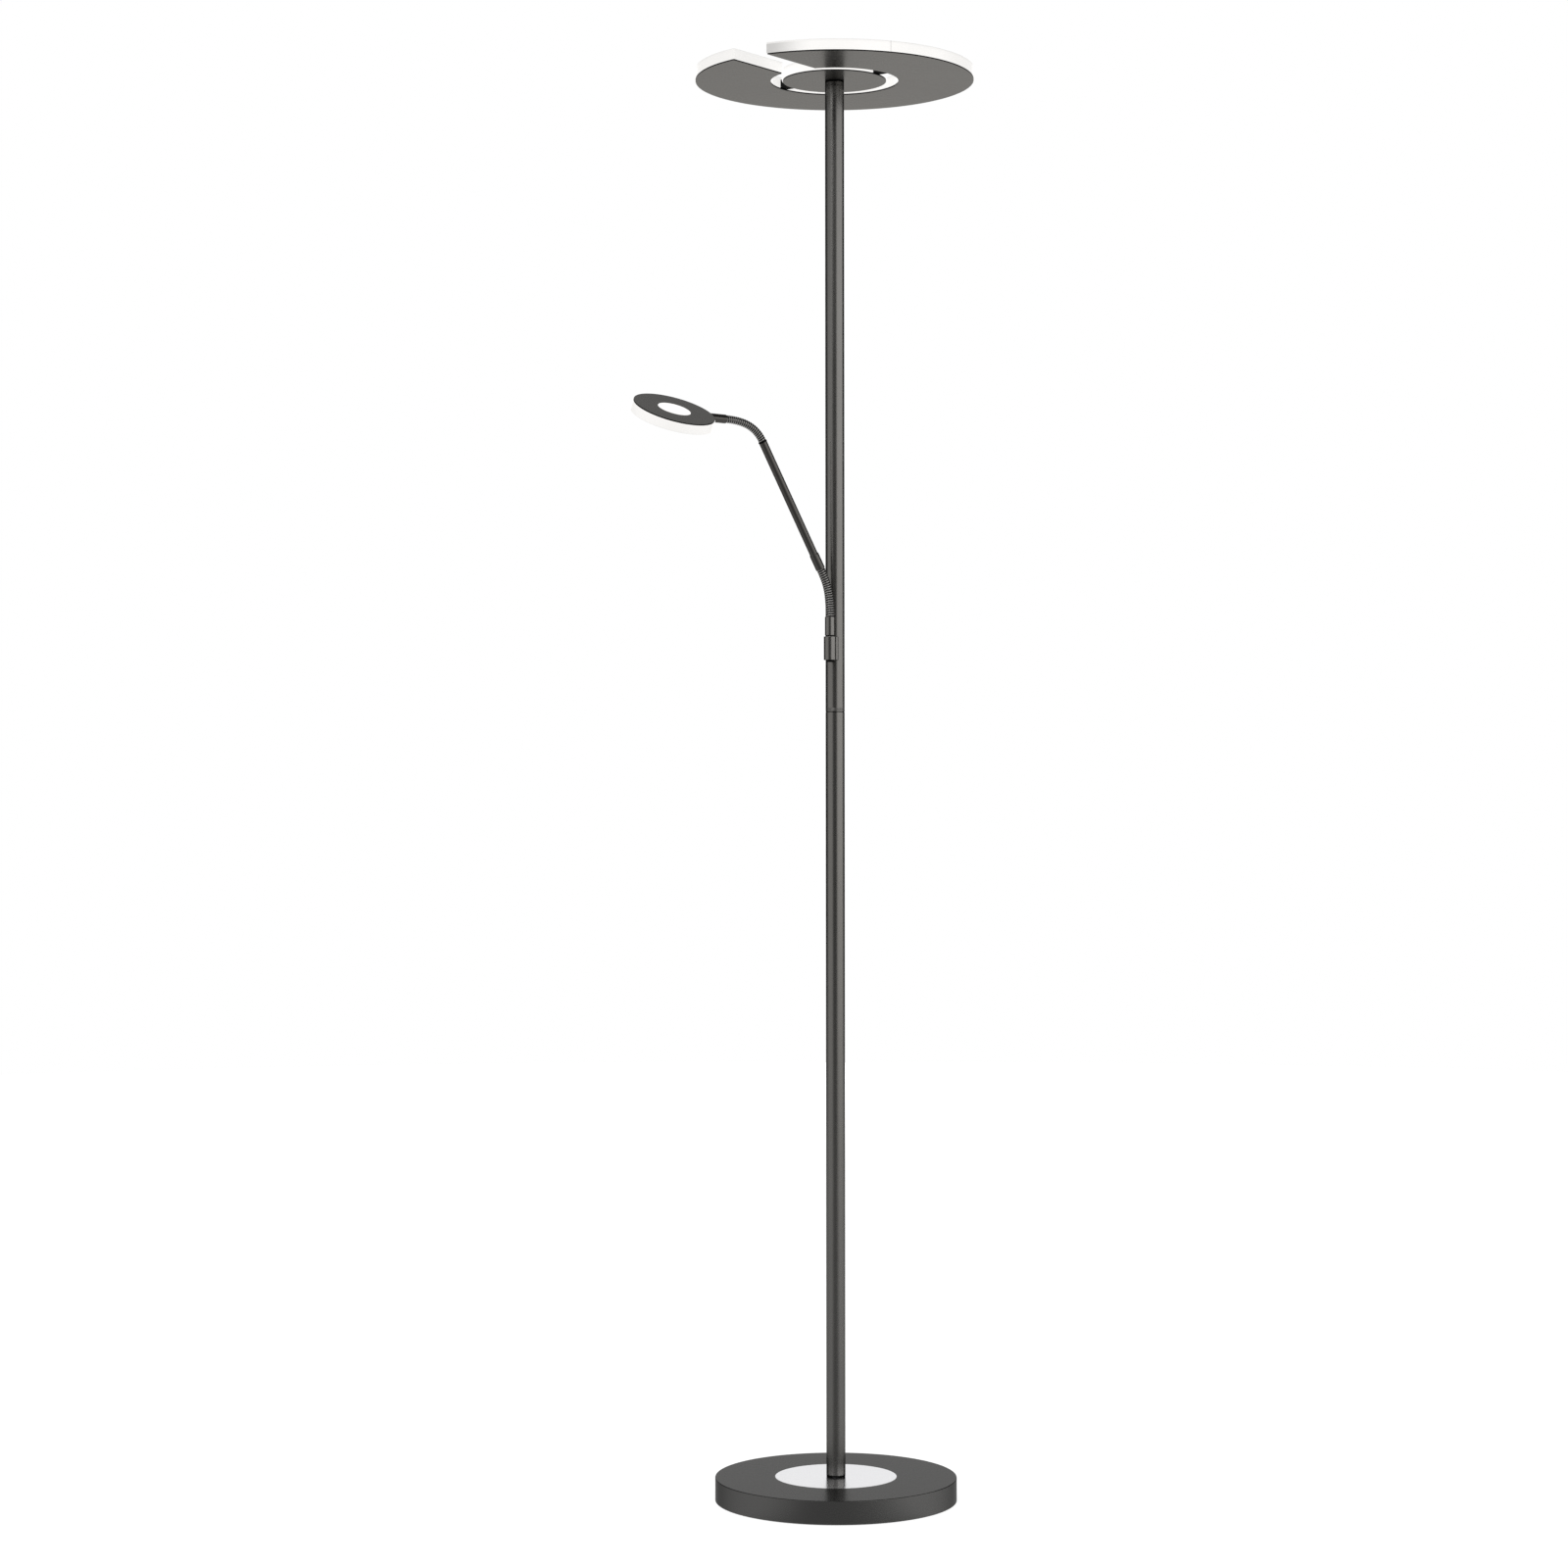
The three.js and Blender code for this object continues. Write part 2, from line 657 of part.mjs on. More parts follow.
const socketUnder = -swivelWasher - socketHeight;
add('pivot_screw', turned([
  [0, socketUnder - pivotHeadHeight],
  [pivotDomeR, socketUnder - pivotHeadHeight],
  [pivotHeadR, socketUnder - pivotRimHeight],
  [pivotHeadR, socketUnder],
  [pivotScrewR, socketUnder],
  [pivotScrewR, tapDepth - stubLength - tapEnd],
  [0, tapDepth - stubLength - tapEnd],
], 20), zinc(), swivel);

// A link runs between two hinges. Its lower end has the ball, and its upper end the socket.
const facet = 3;
const flexSegments = 12;
function linkProfile(radius, length, hasBall, hasSocket) {
  const half = hingeGap / 2;
  const low = hasBall ? half : 0;
  const high = hasSocket ? length - half : length;
  const ballFace = Math.sqrt(ballR ** 2 - half ** 2);
  const ballEdge = THREE.MathUtils.radToDeg(Math.atan2(half, ballFace));
  const points = hasBall ? arc(0, 0, ballR, -90, ballEdge, facet) : [[0, low]];
  points.push([radius, low], [radius, high]);
  if (hasSocket) {
    const cup = ballR + ballClear;
    const cupEdge = THREE.MathUtils.radToDeg(Math.atan2(-half, Math.sqrt(cup ** 2 - half ** 2)));
    points.push(...arc(0, length, cup, cupEdge, -90, facet));
  } else {
    points.push([0, high]);
  }
  points[0][0] = 0;
  points[points.length - 1][0] = 0;
  return points;
}

function flexLink(radius, length, hasBall, hasSocket) {
  return turned(linkProfile(radius, length, hasBall, hasSocket), flexSegments);
}

// A run of links: the root's socket is half a link up, and each hinge turns the next link by its bend.
function flexRun(name, parent, at, radius, length, bends) {
  const root = flexLink(radius, length / 2 - gap, false, true).translate(0, 0, at + gap);
  add(`${name}_root`, root, darkPaint(), parent);
  let holder = parent;
  let along = at + length / 2;
  bends.forEach((bend, i) => {
    const link = new THREE.Group();
    link.position.z = along;
    link.rotation.y = rad(bend);
    holder.add(link);
    const last = i === bends.length - 1;
    const piece = last ? flexLink(radius, length / 2, true, false) : flexLink(radius, length, true, true);
    add(last ? `${name}_end` : `${name}_link_${i + 1}`, piece, darkPaint(), link);
    holder = link;
    along = length;
  });
  return holder;
}

const arm = flexRun('lower_flex', swivel, ferruleHeight, lowerFlexR, lowerLink, lowerBends);
const collarLow = lowerLink / 2;
const tubeLow = collarLow + armCollarLength;
const tubeHigh = tubeLow + armTubeLength;
const ringLow = tubeHigh - tubeRingLength;
add('arm_collar', disc(armCollarR, collarLow + gap, tubeLow, 0, 24), charcoal(), arm);
add('arm_tube', disc(armTubeR, tubeLow + gap, ringLow, armTubeR - armTubeWall, 24), charcoal(), arm);
add('tube_ring', disc(tubeRingR, ringLow + gap, tubeHigh, 0, 24), darkPaint(), arm);

const neck = flexRun('upper_flex', arm, tubeHigh, upperFlexR, upperLink, upperBends);
const neckLow = upperLink / 2;
const neckHigh = neckLow + neckLength;
const neckBore = readingStubR + stubClear;
const stubSeat = neckHigh - readingStubDepth - gap;
add('neck_ferrule', turned([
  [0, neckLow + gap],
  [neckR - neckEdge, neckLow + gap],
  [neckR, neckLow + gap + neckEdge],
  [neckR, neckHigh],
  [neckBore, neckHigh],
  [neckBore, stubSeat],
  [0, stubSeat],
], 24), charcoal(), neck);

// ---- Reading head ----

// The head's frame has +X away from the stub and +Z out of the plate, with its origin at the neck's end.
const headTurn = new THREE.Group();
headTurn.position.z = neckHigh;
headTurn.rotation.z = rad(-readingRoll);
neck.add(headTurn);
const headFrame = new THREE.Group();
headFrame.rotation.y = -Math.PI / 2;
headTurn.add(headFrame);

const opalR = readingR + readingLip;
const headCentreX = headGap + opalR;
const faceHigh = readingThickness / 2;
const plateLow = faceHigh - readingPlate;
const faceLow = -readingThickness / 2;
const underPlate = plateLow - gap;
const windowLow = underPlate - boardThickness;
const windowR = readingHole - slip;
const windowFlange = windowR + windowRim;

add('reading_plate', disc(readingR, plateLow, faceHigh, readingHole, 40).translate(headCentreX, 0, 0),
  charcoal(), headFrame);
add('reading_window', turned([
  [0, windowLow],
  [windowFlange, windowLow],
  [windowFlange, underPlate],
  [windowR, underPlate],
  [windowR, faceHigh],
  [0, faceHigh],
], 28).translate(headCentreX, 0, 0), opal(), headFrame);

function makeReadingDiffuser() {
  const cup = solid(turned([
    [0, faceLow],
    [opalR - readingEdge, faceLow],
    [opalR, faceLow + readingEdge],
    [opalR, underPlate],
    [opalR - readingWall, underPlate],
    [opalR - readingWall, faceLow + readingWall],
    [0, faceLow + readingWall],
  ], 40).translate(headCentreX, 0, 0));
  const hole = solid(disc(readingStubR + gap, 0, headGap + 3 * readingWall, 0, 20).rotateY(Math.PI / 2));
  return surface(cup.subtract(hole));
}
add('reading_diffuser', makeReadingDiffuser(), opal(), headFrame);

function makeReadingBoard() {
  const inner = windowFlange + readingMargin / 2;
  const outer = opalR - readingWall - readingMargin;
  const flat = solid(disc(outer, 0, boardThickness, inner, 32));
  const ledR = (inner + outer) / 2;
  const points = Array.from({ length: readingLedCount }, (_, i) => {
    const angle = 2 * Math.PI * (i + 0.5) / readingLedCount;
    return [ledR * Math.cos(angle), ledR * Math.sin(angle), angle];
  });
  return withLeds(flat, boardThickness, points).rotateX(Math.PI).translate(headCentreX, 0, underPlate);
}
add('reading_led_board', makeReadingBoard(), board(), headFrame);

// The stub turns in the neck, and its foot inside the head carries the plate.
function makeReadingStub() {
  const flangeLow = gap;
  const flangeHigh = headGap - gap;
  const inside = headGap + readingWall + gap;
  const pin = solid(turned([
    [0, -readingStubDepth],
    [readingStubR, -readingStubDepth],
    [readingStubR, flangeLow],
    [readingStubFlange, flangeLow],
    [readingStubFlange, flangeHigh],
    [readingStubR, flangeHigh],
    [readingStubR, inside + readingFoot],
    [0, inside + readingFoot],
  ], 24).rotateY(Math.PI / 2));
  const foot = solid(block(readingFoot, 2 * readingStubR, 0, underPlate)
    .translate(inside + readingFoot / 2, 0, 0));
  return surface(pin.add(foot));
}
add('reading_stub', makeReadingStub(), darkPaint(), headFrame);

export default lamp;
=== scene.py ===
import json
import math

import bmesh
import bpy
from mathutils import Matrix, Vector


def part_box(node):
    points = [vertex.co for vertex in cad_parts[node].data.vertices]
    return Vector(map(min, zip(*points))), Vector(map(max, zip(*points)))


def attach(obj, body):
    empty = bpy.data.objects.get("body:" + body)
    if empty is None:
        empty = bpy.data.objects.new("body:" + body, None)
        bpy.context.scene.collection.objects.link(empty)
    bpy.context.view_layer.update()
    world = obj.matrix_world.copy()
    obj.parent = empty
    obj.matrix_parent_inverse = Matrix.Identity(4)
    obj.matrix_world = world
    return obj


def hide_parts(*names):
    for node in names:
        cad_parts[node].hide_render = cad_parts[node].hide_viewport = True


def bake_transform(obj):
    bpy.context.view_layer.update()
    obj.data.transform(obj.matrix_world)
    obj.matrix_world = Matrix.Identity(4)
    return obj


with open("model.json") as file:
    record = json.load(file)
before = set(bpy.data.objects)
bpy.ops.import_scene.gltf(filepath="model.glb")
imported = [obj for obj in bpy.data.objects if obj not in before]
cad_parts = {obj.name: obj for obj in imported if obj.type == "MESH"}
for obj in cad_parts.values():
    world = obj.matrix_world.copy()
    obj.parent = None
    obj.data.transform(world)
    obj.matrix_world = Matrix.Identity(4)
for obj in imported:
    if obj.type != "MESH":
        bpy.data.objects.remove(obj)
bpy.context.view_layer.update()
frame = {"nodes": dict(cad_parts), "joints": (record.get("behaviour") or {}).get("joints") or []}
mm = 0.001

# ---------------------------------------------------------------- Camera and studio
# A level camera with a long lens stands 4.2 m in front, a little left of the pole and at
# the height of its middle. The floor is pale paper, and large soft panels light the lamp.
camera_data = bpy.data.cameras.new("camera")
camera_data.lens = 76.66
camera_data.sensor_width = 36
camera_data.shift_y = 0.0103
camera = bpy.data.objects.new("camera", camera_data)
camera.location = (-0.0645, -4.204, 0.881)
camera.rotation_euler = (math.radians(90), math.radians(0.06), 0)
bpy.context.scene.collection.objects.link(camera)
bpy.context.scene.camera = camera
bpy.context.scene.view_settings.view_transform = "Standard"


class Shade:
    """A shader socket. Sums written with it add Math nodes, and node() adds any other node."""

    def __init__(self, tree, socket=None):
        self.tree = tree
        self.socket = socket

    def node(self, kind, settings, inputs, output=0):
        made = self.tree.nodes.new(kind)
        for name, value in settings.items():
            setattr(made, name, value)
        for key, value in inputs.items():
            if isinstance(value, Shade):
                self.tree.links.new(value.socket, made.inputs[key])
            else:
                made.inputs[key].default_value = value
        return Shade(self.tree, made.outputs[output] if made.outputs else None)

    def math(self, operation, *values):
        return self.node("ShaderNodeMath", {"operation": operation}, dict(enumerate(values)))

    def __add__(self, other):
        return self.math("ADD", self, other)

    def __sub__(self, other):
        return self.math("SUBTRACT", self, other)

    def __rsub__(self, other):
        return self.math("SUBTRACT", other, self)

    def __mul__(self, other):
        return self.math("MULTIPLY", self, other)

    __radd__ = __add__
    __rmul__ = __mul__

    def step(self, low, high):
        """0 below low and 1 above high, with a smooth rise between; falls where low is over high."""
        inputs = {0: self, 1: low, 2: high}
        return self.node("ShaderNodeMapRange", {"interpolation_type": "SMOOTHSTEP"}, inputs)

    def parts(self):
        """The X, Y and Z of a vector."""
        return [self.node("ShaderNodeSeparateXYZ", {}, {0: self}, axis) for axis in range(3)]

    def length(self):
        return self.node("ShaderNodeVectorMath", {"operation": "LENGTH"}, {0: self}, 1)

    def mixed(self, low, high):
        """The colour between low and high that this number gives."""
        return self.node("ShaderNodeMix", {"data_type": "RGBA"}, {0: self, 6: low, 7: high}, 2)

    def noise(self, scale, detail=2, roughness=0.5):
        inputs = {"Vector": self, "Scale": scale, "Detail": detail, "Roughness": roughness}
        return self.node("ShaderNodeTexNoise", {}, inputs)

    def from_axis(self):
        """How far a place is from the lamp's upright axis."""
        return self.node("ShaderNodeMapping", {}, {"Vector": self, "Scale": (1, 1, 0)}).length()


def grey(value):
    return (value, value, value, 1)


def side_turn(shade, east, south):
    """The turn of a direction in degrees, 0 on the camera's side and positive to the right."""
    return shade.math("ARCTAN2", east, south) * (180 / math.pi)


# What the lamp reflects: white panels at its sides and behind it, and a dark camera side. Each
# panel fades over a range of turns or of rises, which are degrees above level. The camera
# itself sees plain white.
world = bpy.data.worlds.new("studio")
bpy.context.scene.world = world
world.use_nodes = True
world.node_tree.nodes.clear()
air = Shade(world.node_tree)
direction = air.node("ShaderNodeTexCoord", {}, {}, 0)
east, north, up = direction.parts()
turn = side_turn(air, east, north * -1)
away = air.math("ABSOLUTE", turn)
rise = air.math("ARCSINE", up) * (180 / math.pi)
right_rise = rise.step(-12, -4) * 0.35 + rise.step(2, 7) * 0.55 + 0.7
right_panel = turn.step(12, 30) * turn.step(112, 96) * right_rise
left_panel = turn.step(-20, -40) * turn.step(-108, -92) * (rise.step(-14, 0) * 0.2 + 0.5)
back_panel = away.step(148, 164) * (1.0 - rise.step(-6, 6) * 0.14 - rise.step(16, 40) * 0.3)
front_fill = away.step(60, 35) * rise.step(14, 18) * 0.5
overhead = rise.step(50, 75)
sides = (right_panel + left_panel) * rise.step(20, 8)
light = (sides + back_panel + front_fill + 0.06) * (1 - overhead) + overhead * 0.75
seen = air.node("ShaderNodeLightPath", {}, {}, 0)
tint = rise.step(4, -4).mixed(grey(1), (1.0, 0.965, 0.91, 1))
colour = seen.mixed(tint, grey(1))
strength = seen + (1 - seen) * light
sky = air.node("ShaderNodeBackground", {}, {"Color": colour, "Strength": strength})
air.node("ShaderNodeOutputWorld", {}, {0: sky})

# A large soft lamp high on the camera's left.
key_data = bpy.data.lights.new("key", "AREA")
key_data.shape = "DISK"
key_data.size = 2.5
key_data.energy = 35
key = bpy.data.objects.new("key", key_data)
key.location = (-1.2, -2.2, 3.6)
key.rotation_euler = (Vector((0, 0, 0.6)) - key.location).to_track_quat("-Z", "Y").to_euler()
bpy.context.scene.collection.objects.link(key)

# The camera sees pale paper, which fades to white before its edge. The lamp reflects a dimmer
# paper, brightest behind it.
floor_r = 7
floor_material = bpy.data.materials.new("studio_paper")
floor_material.use_nodes = True
floor_material.node_tree.nodes.clear()
paper = Shade(floor_material.node_tree)
paper_place = paper.node("ShaderNodeTexCoord", {}, {}, 3)
fibres = paper_place.noise(40, 4) * 0.02 + 0.83
fade = paper_place.length().step(3, floor_r) * 0.3
matt = paper.node("ShaderNodeBsdfDiffuse", {}, {"Color": grey(0.5)})
bright = paper.node("ShaderNodeEmission", {}, {"Strength": fibres + fade})
lit_paper = paper.node("ShaderNodeAddShader", {}, {0: matt, 1: bright})
paper_x, paper_y, _ = paper_place.parts()
signed = side_turn(paper, paper_x, paper_y * -1)
away = paper.math("ABSOLUTE", signed)
dim = 0.23 + away.step(15, 55) * 0.28 + signed.step(30, 60) * 0.1 + away.step(140, 165) * 0.7
dim_paper = paper.node("ShaderNodeEmission", {}, {"Strength": dim})
in_view = paper.node("ShaderNodeLightPath", {}, {}, 0)
both = paper.node("ShaderNodeMixShader", {}, {0: in_view, 1: dim_paper, 2: lit_paper})
paper.node("ShaderNodeOutputMaterial", {}, {0: both})

floor_bm = bmesh.new()
bmesh.ops.create_circle(floor_bm, cap_ends=True, segments=64, radius=floor_r)
floor_mesh = bpy.data.meshes.new("floor")
floor_bm.to_mesh(floor_mesh)
floor_bm.free()
floor_mesh.materials.append(floor_material)
floor = bpy.data.objects.new("floor", floor_mesh)
bpy.context.scene.collection.objects.link(floor)

# ---------------------------------------------------------------- Base cover
# The cover is a spun steel shell, coated in satin charcoal like the pole and the plates.
# Its top is pressed down in the middle to take the steel disc, and its rim is rounded.


class Finish(Shade):
    """A material on the Principled shader, with its Object coordinates at hand."""

    def __init__(self, name, colour, roughness, metallic):
        self.material = bpy.data.materials.new(name)
        self.material.use_nodes = True
        super().__init__(self.material.node_tree)
        self.shader = self.tree.nodes["Principled BSDF"]
        self.place = self.node("ShaderNodeTexCoord", {}, {}, 3)
        self.set("Base Color", colour)
        self.set("Roughness", roughness)
        self.set("Metallic", metallic)

    def set(self, name, value):
        if isinstance(value, Shade):
            self.tree.links.new(value.socket, self.shader.inputs[name])
        else:
            self.shader.inputs[name].default_value = value

    def bump(self, height, depth, strength=1.0):
        inputs = {"Height": height, "Distance": depth, "Strength": strength}
        self.set("Normal", self.node("ShaderNodeBump", {}, inputs))


def satin(name, dark, light, glance, rough=0.22):
    """Satin charcoal between two greys. Its glance is how much gloss stays at a glancing view."""
    coat = Finish(name, light, 0.3, 0.95)
    coat.set("Specular Tint", grey(glance))
    joint_and_shade_dark = grey(0.012)
    cloud = coat.place.noise(9, 3)
    peel = coat.place.noise(900, 2)
    # Faces marked edge get a near-black colour: painted shade along edges, at the pole's foot and
    # under the hub, and dark joints.
    edge = coat.node("ShaderNodeAttribute", {"attribute_name": "edge"}, {}, 2)
    coat.set("Base Color", edge.mixed(cloud.mixed(dark, light), joint_and_shade_dark))
    coat.set("Roughness", cloud * 0.05 + peel * 0.05 + rough)
    coat.bump(peel, 0.00001)
    return coat


# A darker copy of the pole's satin charcoal, as painted shade that keeps the cover's lit top down.
shaded_base_coat = satin("charcoal_base_shaded", (0.16, 0.158, 0.155, 1), (0.178, 0.176, 0.172, 1), 0.38)


def turned(outline, steps=128, closed=True):
    """A bmesh of an outline of (radius, height) points spun round Z."""
    bm = bmesh.new()
    verts = [bm.verts.new((r, 0, z)) for r, z in outline]
    edges = [bm.edges.new(pair) for pair in zip(verts, verts[1:])]
    if closed:
        edges.append(bm.edges.new((verts[-1], verts[0])))
    bmesh.ops.spin(
        bm, geom=verts + edges, cent=(0, 0, 0), axis=(0, 0, 1), dvec=(0, 0, 0),
        angle=2 * math.pi, steps=steps, use_merge=True,
    )
    bmesh.ops.remove_doubles(bm, verts=bm.verts, dist=1e-6)
    bmesh.ops.recalc_face_normals(bm, faces=bm.faces)
    return bm


def rounded(bm, edges, width, segments):
    """Rounds the given edges."""
    bmesh.ops.bevel(
        bm, geom=edges, offset=width, offset_type="OFFSET", segments=segments,
        profile=0.5, affect="EDGES", clamp_overlap=True, material=-1,
    )


def ease_edges(bm, width, segments=2, sharper_than=40):
    """Rounds every edge that is sharper than the angle, in degrees."""
    angle = math.radians(sharper_than)
    sharp = [e for e in bm.edges if len(e.link_faces) == 2 and e.calc_face_angle() > angle]
    rounded(bm, sharp, width, segments)


flat = 0.97  # a face lies level where its normal's Z is over this


def mark_dark_joint_and_shade(bm, chosen):
    """Marks the faces that the coat paints near black: painted shade along an edge or under a part,
    and dark joints.
    """
    edge = bm.faces.layers.float.new("edge")
    for face in bm.faces:
        face[edge] = float(chosen(face))


def finished(name, bm, finish, body, slot, *nodes, smooth=35):
    """Makes the piece, gives it its finish, and has it ride on its body in place of its nodes."""
    mesh = bpy.data.meshes.new(name)
    bm.to_mesh(mesh)
    bm.free()
    mesh.materials.append(finish.material)
    mesh.shade_smooth()
    mesh.set_sharp_from_angle(angle=math.radians(smooth))
    piece = bpy.data.objects.new(name, mesh)
    bpy.context.scene.collection.objects.link(piece)
    if body:
        # Keeps a wide face flat in its shading beside the small rounds at its edges.
        flats = piece.modifiers.new("flats", "WEIGHTED_NORMAL")
        flats.keep_sharp = True
        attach(piece, body)
    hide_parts(*nodes)
    return piece


cover_low, cover_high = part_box("base_cover")
base_r = cover_high.x
base_top = cover_high.z
base_low = cover_low.z
inlay_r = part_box("steel_inlay")[1].x
inlay_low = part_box("steel_inlay")[0].z
inlay_joint = 0.15 * mm
cover_wall = 1.5 * mm
rim_round = 0.9 * mm
rim_shade_slope = 0.35
hair = 0.01 * mm
hole_r = 5.2 * mm
cover_bm = turned([
    (base_r - cover_wall, base_low),
    (base_r, base_low),
    (base_r, base_top),
    (inlay_r + inlay_joint, base_top),
    (inlay_r + inlay_joint, inlay_low),
    (hole_r, inlay_low),
    (hole_r, inlay_low - cover_wall),
    (inlay_r + cover_wall, inlay_low - cover_wall),
    (inlay_r + cover_wall, base_top - cover_wall),
    (base_r - cover_wall, base_top - cover_wall),
], steps=256)
rim = [
    e for e in cover_bm.edges
    if all(v.co.z > base_top - hair and v.co.xy.length > base_r - hair for v in e.verts)
]
rounded(cover_bm, rim, rim_round, 4)
ease_edges(cover_bm, 0.12 * mm, segments=1, sharper_than=60)
# The upper half of the rim's round is painted dark, as a painted shade line along the top edge.
mark_dark_joint_and_shade(cover_bm, lambda face: rim_shade_slope < face.normal.z < flat)
finished("base_shell", cover_bm, shaded_base_coat, "stand", "charcoal_paint", "base_cover")

# ---------------------------------------------------------------- Steel disc
# A stainless disc lies flush in the cover round the pole. It is brushed in circles by a
# pad on a lathe, and its edge is rounded a little.
steel = Finish("brushed_steel", (0.9, 0.9, 0.92, 1), 0.22, 1.0)
radius = steel.place.from_axis()
by_radius = {"noise_dimensions": "1D"}
fine = steel.node("ShaderNodeTexNoise", by_radius, {"W": radius, "Scale": 2600, "Detail": 3})
broad = steel.node("ShaderNodeTexNoise", by_radius, {"W": radius, "Scale": 420, "Detail": 2})
steel.set("Base Color", fine.mixed((0.84, 0.84, 0.86, 1), (0.93, 0.93, 0.95, 1)))
steel.set("Roughness", fine * 0.08 + broad * 0.05 + 0.16)
steel.bump(fine * 0.7 + broad * 0.3, 0.000012)

inlay_bm = turned([
    (hole_r, inlay_low),
    (inlay_r, inlay_low),
    (inlay_r, base_top),
    (hole_r, base_top),
], steps=192)
ease_edges(inlay_bm, 0.3 * mm)
finished("steel_disc", inlay_bm, steel, "stand", "brushed_steel", "steel_inlay")

# ---------------------------------------------------------------- Felt pad
# A disc of pressed felt is glued under the ballast, and ends just inside the cover's rim. It
# keeps the lamp off the floor, so that a thin dark gap shows all round.
felt = Finish("pressed_felt", grey(0.01), 0.95, 0.0)
fuzz = felt.place.noise(1500, 4, 0.7)
clumps = felt.place.noise(140, 3)
felt.set("Base Color", (fuzz * 0.7 + clumps * 0.3).mixed(grey(0.004), grey(0.03)))
felt.bump(fuzz + clumps, 0.0002)
felt.shader.inputs["Sheen Weight"].default_value = 0.3

pad_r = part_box("felt_pad")[1].x
pad_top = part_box("felt_pad")[1].z
pad_bm = turned([(0, 0), (pad_r, 0), (pad_r, pad_top), (0, pad_top)], steps=160, closed=False)
ease_edges(pad_bm, 0.3 * mm)
finished("felt_foot", pad_bm, felt, "stand", "felt", "felt_pad")

# ---------------------------------------------------------------- Cable gland
# A black moulded grommet sits in the rear of the cover, where the mains lead goes in. Its
# flange is domed, and a groove round its mouth lets it flex.
rubber = Finish("black_moulding", grey(0.012), 0.5, 0.0)
grain = rubber.place.noise(1800, 3)
rubber.set("Base Color", grain.mixed(grey(0.008), grey(0.018)))
rubber.set("Roughness", grain * 0.15 + 0.42)
rubber.bump(grain, 0.00003)

gland_low, gland_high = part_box("cable_gland")
gland_r = gland_high.x
gland_z = (gland_low.z + gland_high.z) / 2
gland_bore = 3.6 * mm
gland_neck = 5.5 * mm
gland_back = base_r - 4 * mm - gland_high.y
flange_back = base_r + 0.1 * mm - gland_high.y
dome_width = 1.6 * mm
dome_height = 0.9 * mm
flex_groove = 0.6 * mm
gland_bm = turned([
    (gland_bore, gland_back),
    (gland_neck, gland_back),
    (gland_neck, flange_back),
    (gland_r, flange_back),
    (gland_r, -dome_height),
    (gland_r - dome_width, 0),
    (gland_bore + dome_width, 0),
    (gland_bore + 2 * flex_groove, -flex_groove),
    (gland_bore + flex_groove, -flex_groove),
    (gland_bore + flex_groove / 2, 0),
    (gland_bore, 0),
], steps=64)
ease_edges(gland_bm, 0.1 * mm)
to_rear = Matrix.Rotation(-math.pi / 2, 3, "X")
bmesh.ops.rotate(gland_bm, verts=gland_bm.verts, cent=(0, 0, 0), matrix=to_rear)
bmesh.ops.translate(gland_bm, verts=gland_bm.verts, vec=(0, gland_high.y, gland_z))
finished("inlet_grommet", gland_bm, rubber, "stand", "black_plastic", "cable_gland")

# ---------------------------------------------------------------- Pole
# The pole is two steel tubes of the same size, screwed together end to end. Their ends
# are chamfered, and three fine turned lines stand just above the joint.
charcoal = satin("charcoal_satin", (0.19, 0.186, 0.179, 1), (0.219, 0.214, 0.205, 1), 0.43)
pole_low, pole_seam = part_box("pole_lower")[0].z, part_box("pole_lower")[1].z
pole_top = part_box("pole_upper")[1].z
pole_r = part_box("pole_collar")[1].x
pole_bore = pole_r - 1.2 * mm
seam_chamfer = 0.5 * mm
foot_chamfer = 0.9 * mm
foot_shadow_band = 2.6 * mm


def mark_joint_and_shade_ends(bm, low, high):
    """Marks the faces under low and over high to be painted dark, such as a band of painted shadow
    at a foot or the dark chamfer at a joint.
    """
    mark_dark_joint_and_shade(bm, lambda face: not low < face.calc_center_median().z < high)


lower_bm = turned([
    (pole_bore, pole_low),
    (pole_r - seam_chamfer, pole_low),
    (pole_r, pole_low + foot_chamfer),
    (pole_r, pole_low + foot_shadow_band),
    (pole_r, pole_seam - seam_chamfer),
    (pole_r - seam_chamfer, pole_seam),
    (pole_bore, pole_seam),
], steps=96)
# The band at the foot is painted dark as the shadow where the tube stands, and the chamfer at the
# joint as a dark joint.
mark_joint_and_shade_ends(lower_bm, pole_low + foot_shadow_band, pole_seam - seam_chamfer)
finished("pole_tube_lower", lower_bm, charcoal, "stand", "charcoal_paint", "pole_lower")

line_pitch = 1.3 * mm
line_width = 0.3 * mm
line_depth = 0.12 * mm
upper_outline = [
    (pole_bore, pole_seam),
    (pole_r - seam_chamfer, pole_seam),
    (pole_r, pole_seam + seam_chamfer),
]
for line in range(1, 4):
    height = pole_seam + seam_chamfer + line * line_pitch
    upper_outline += [
        (pole_r, height - line_width),
        (pole_r - line_depth, height),
        (pole_r, height + line_width),
    ]
upper_outline += [(pole_r, pole_top), (pole_bore, pole_top)]
upper_bm = turned(upper_outline, steps=96)
mark_joint_and_shade_ends(upper_bm, pole_seam + seam_chamfer, math.inf)
finished("pole_tube_upper", upper_bm, charcoal, "stand", "charcoal_paint", "pole_upper")

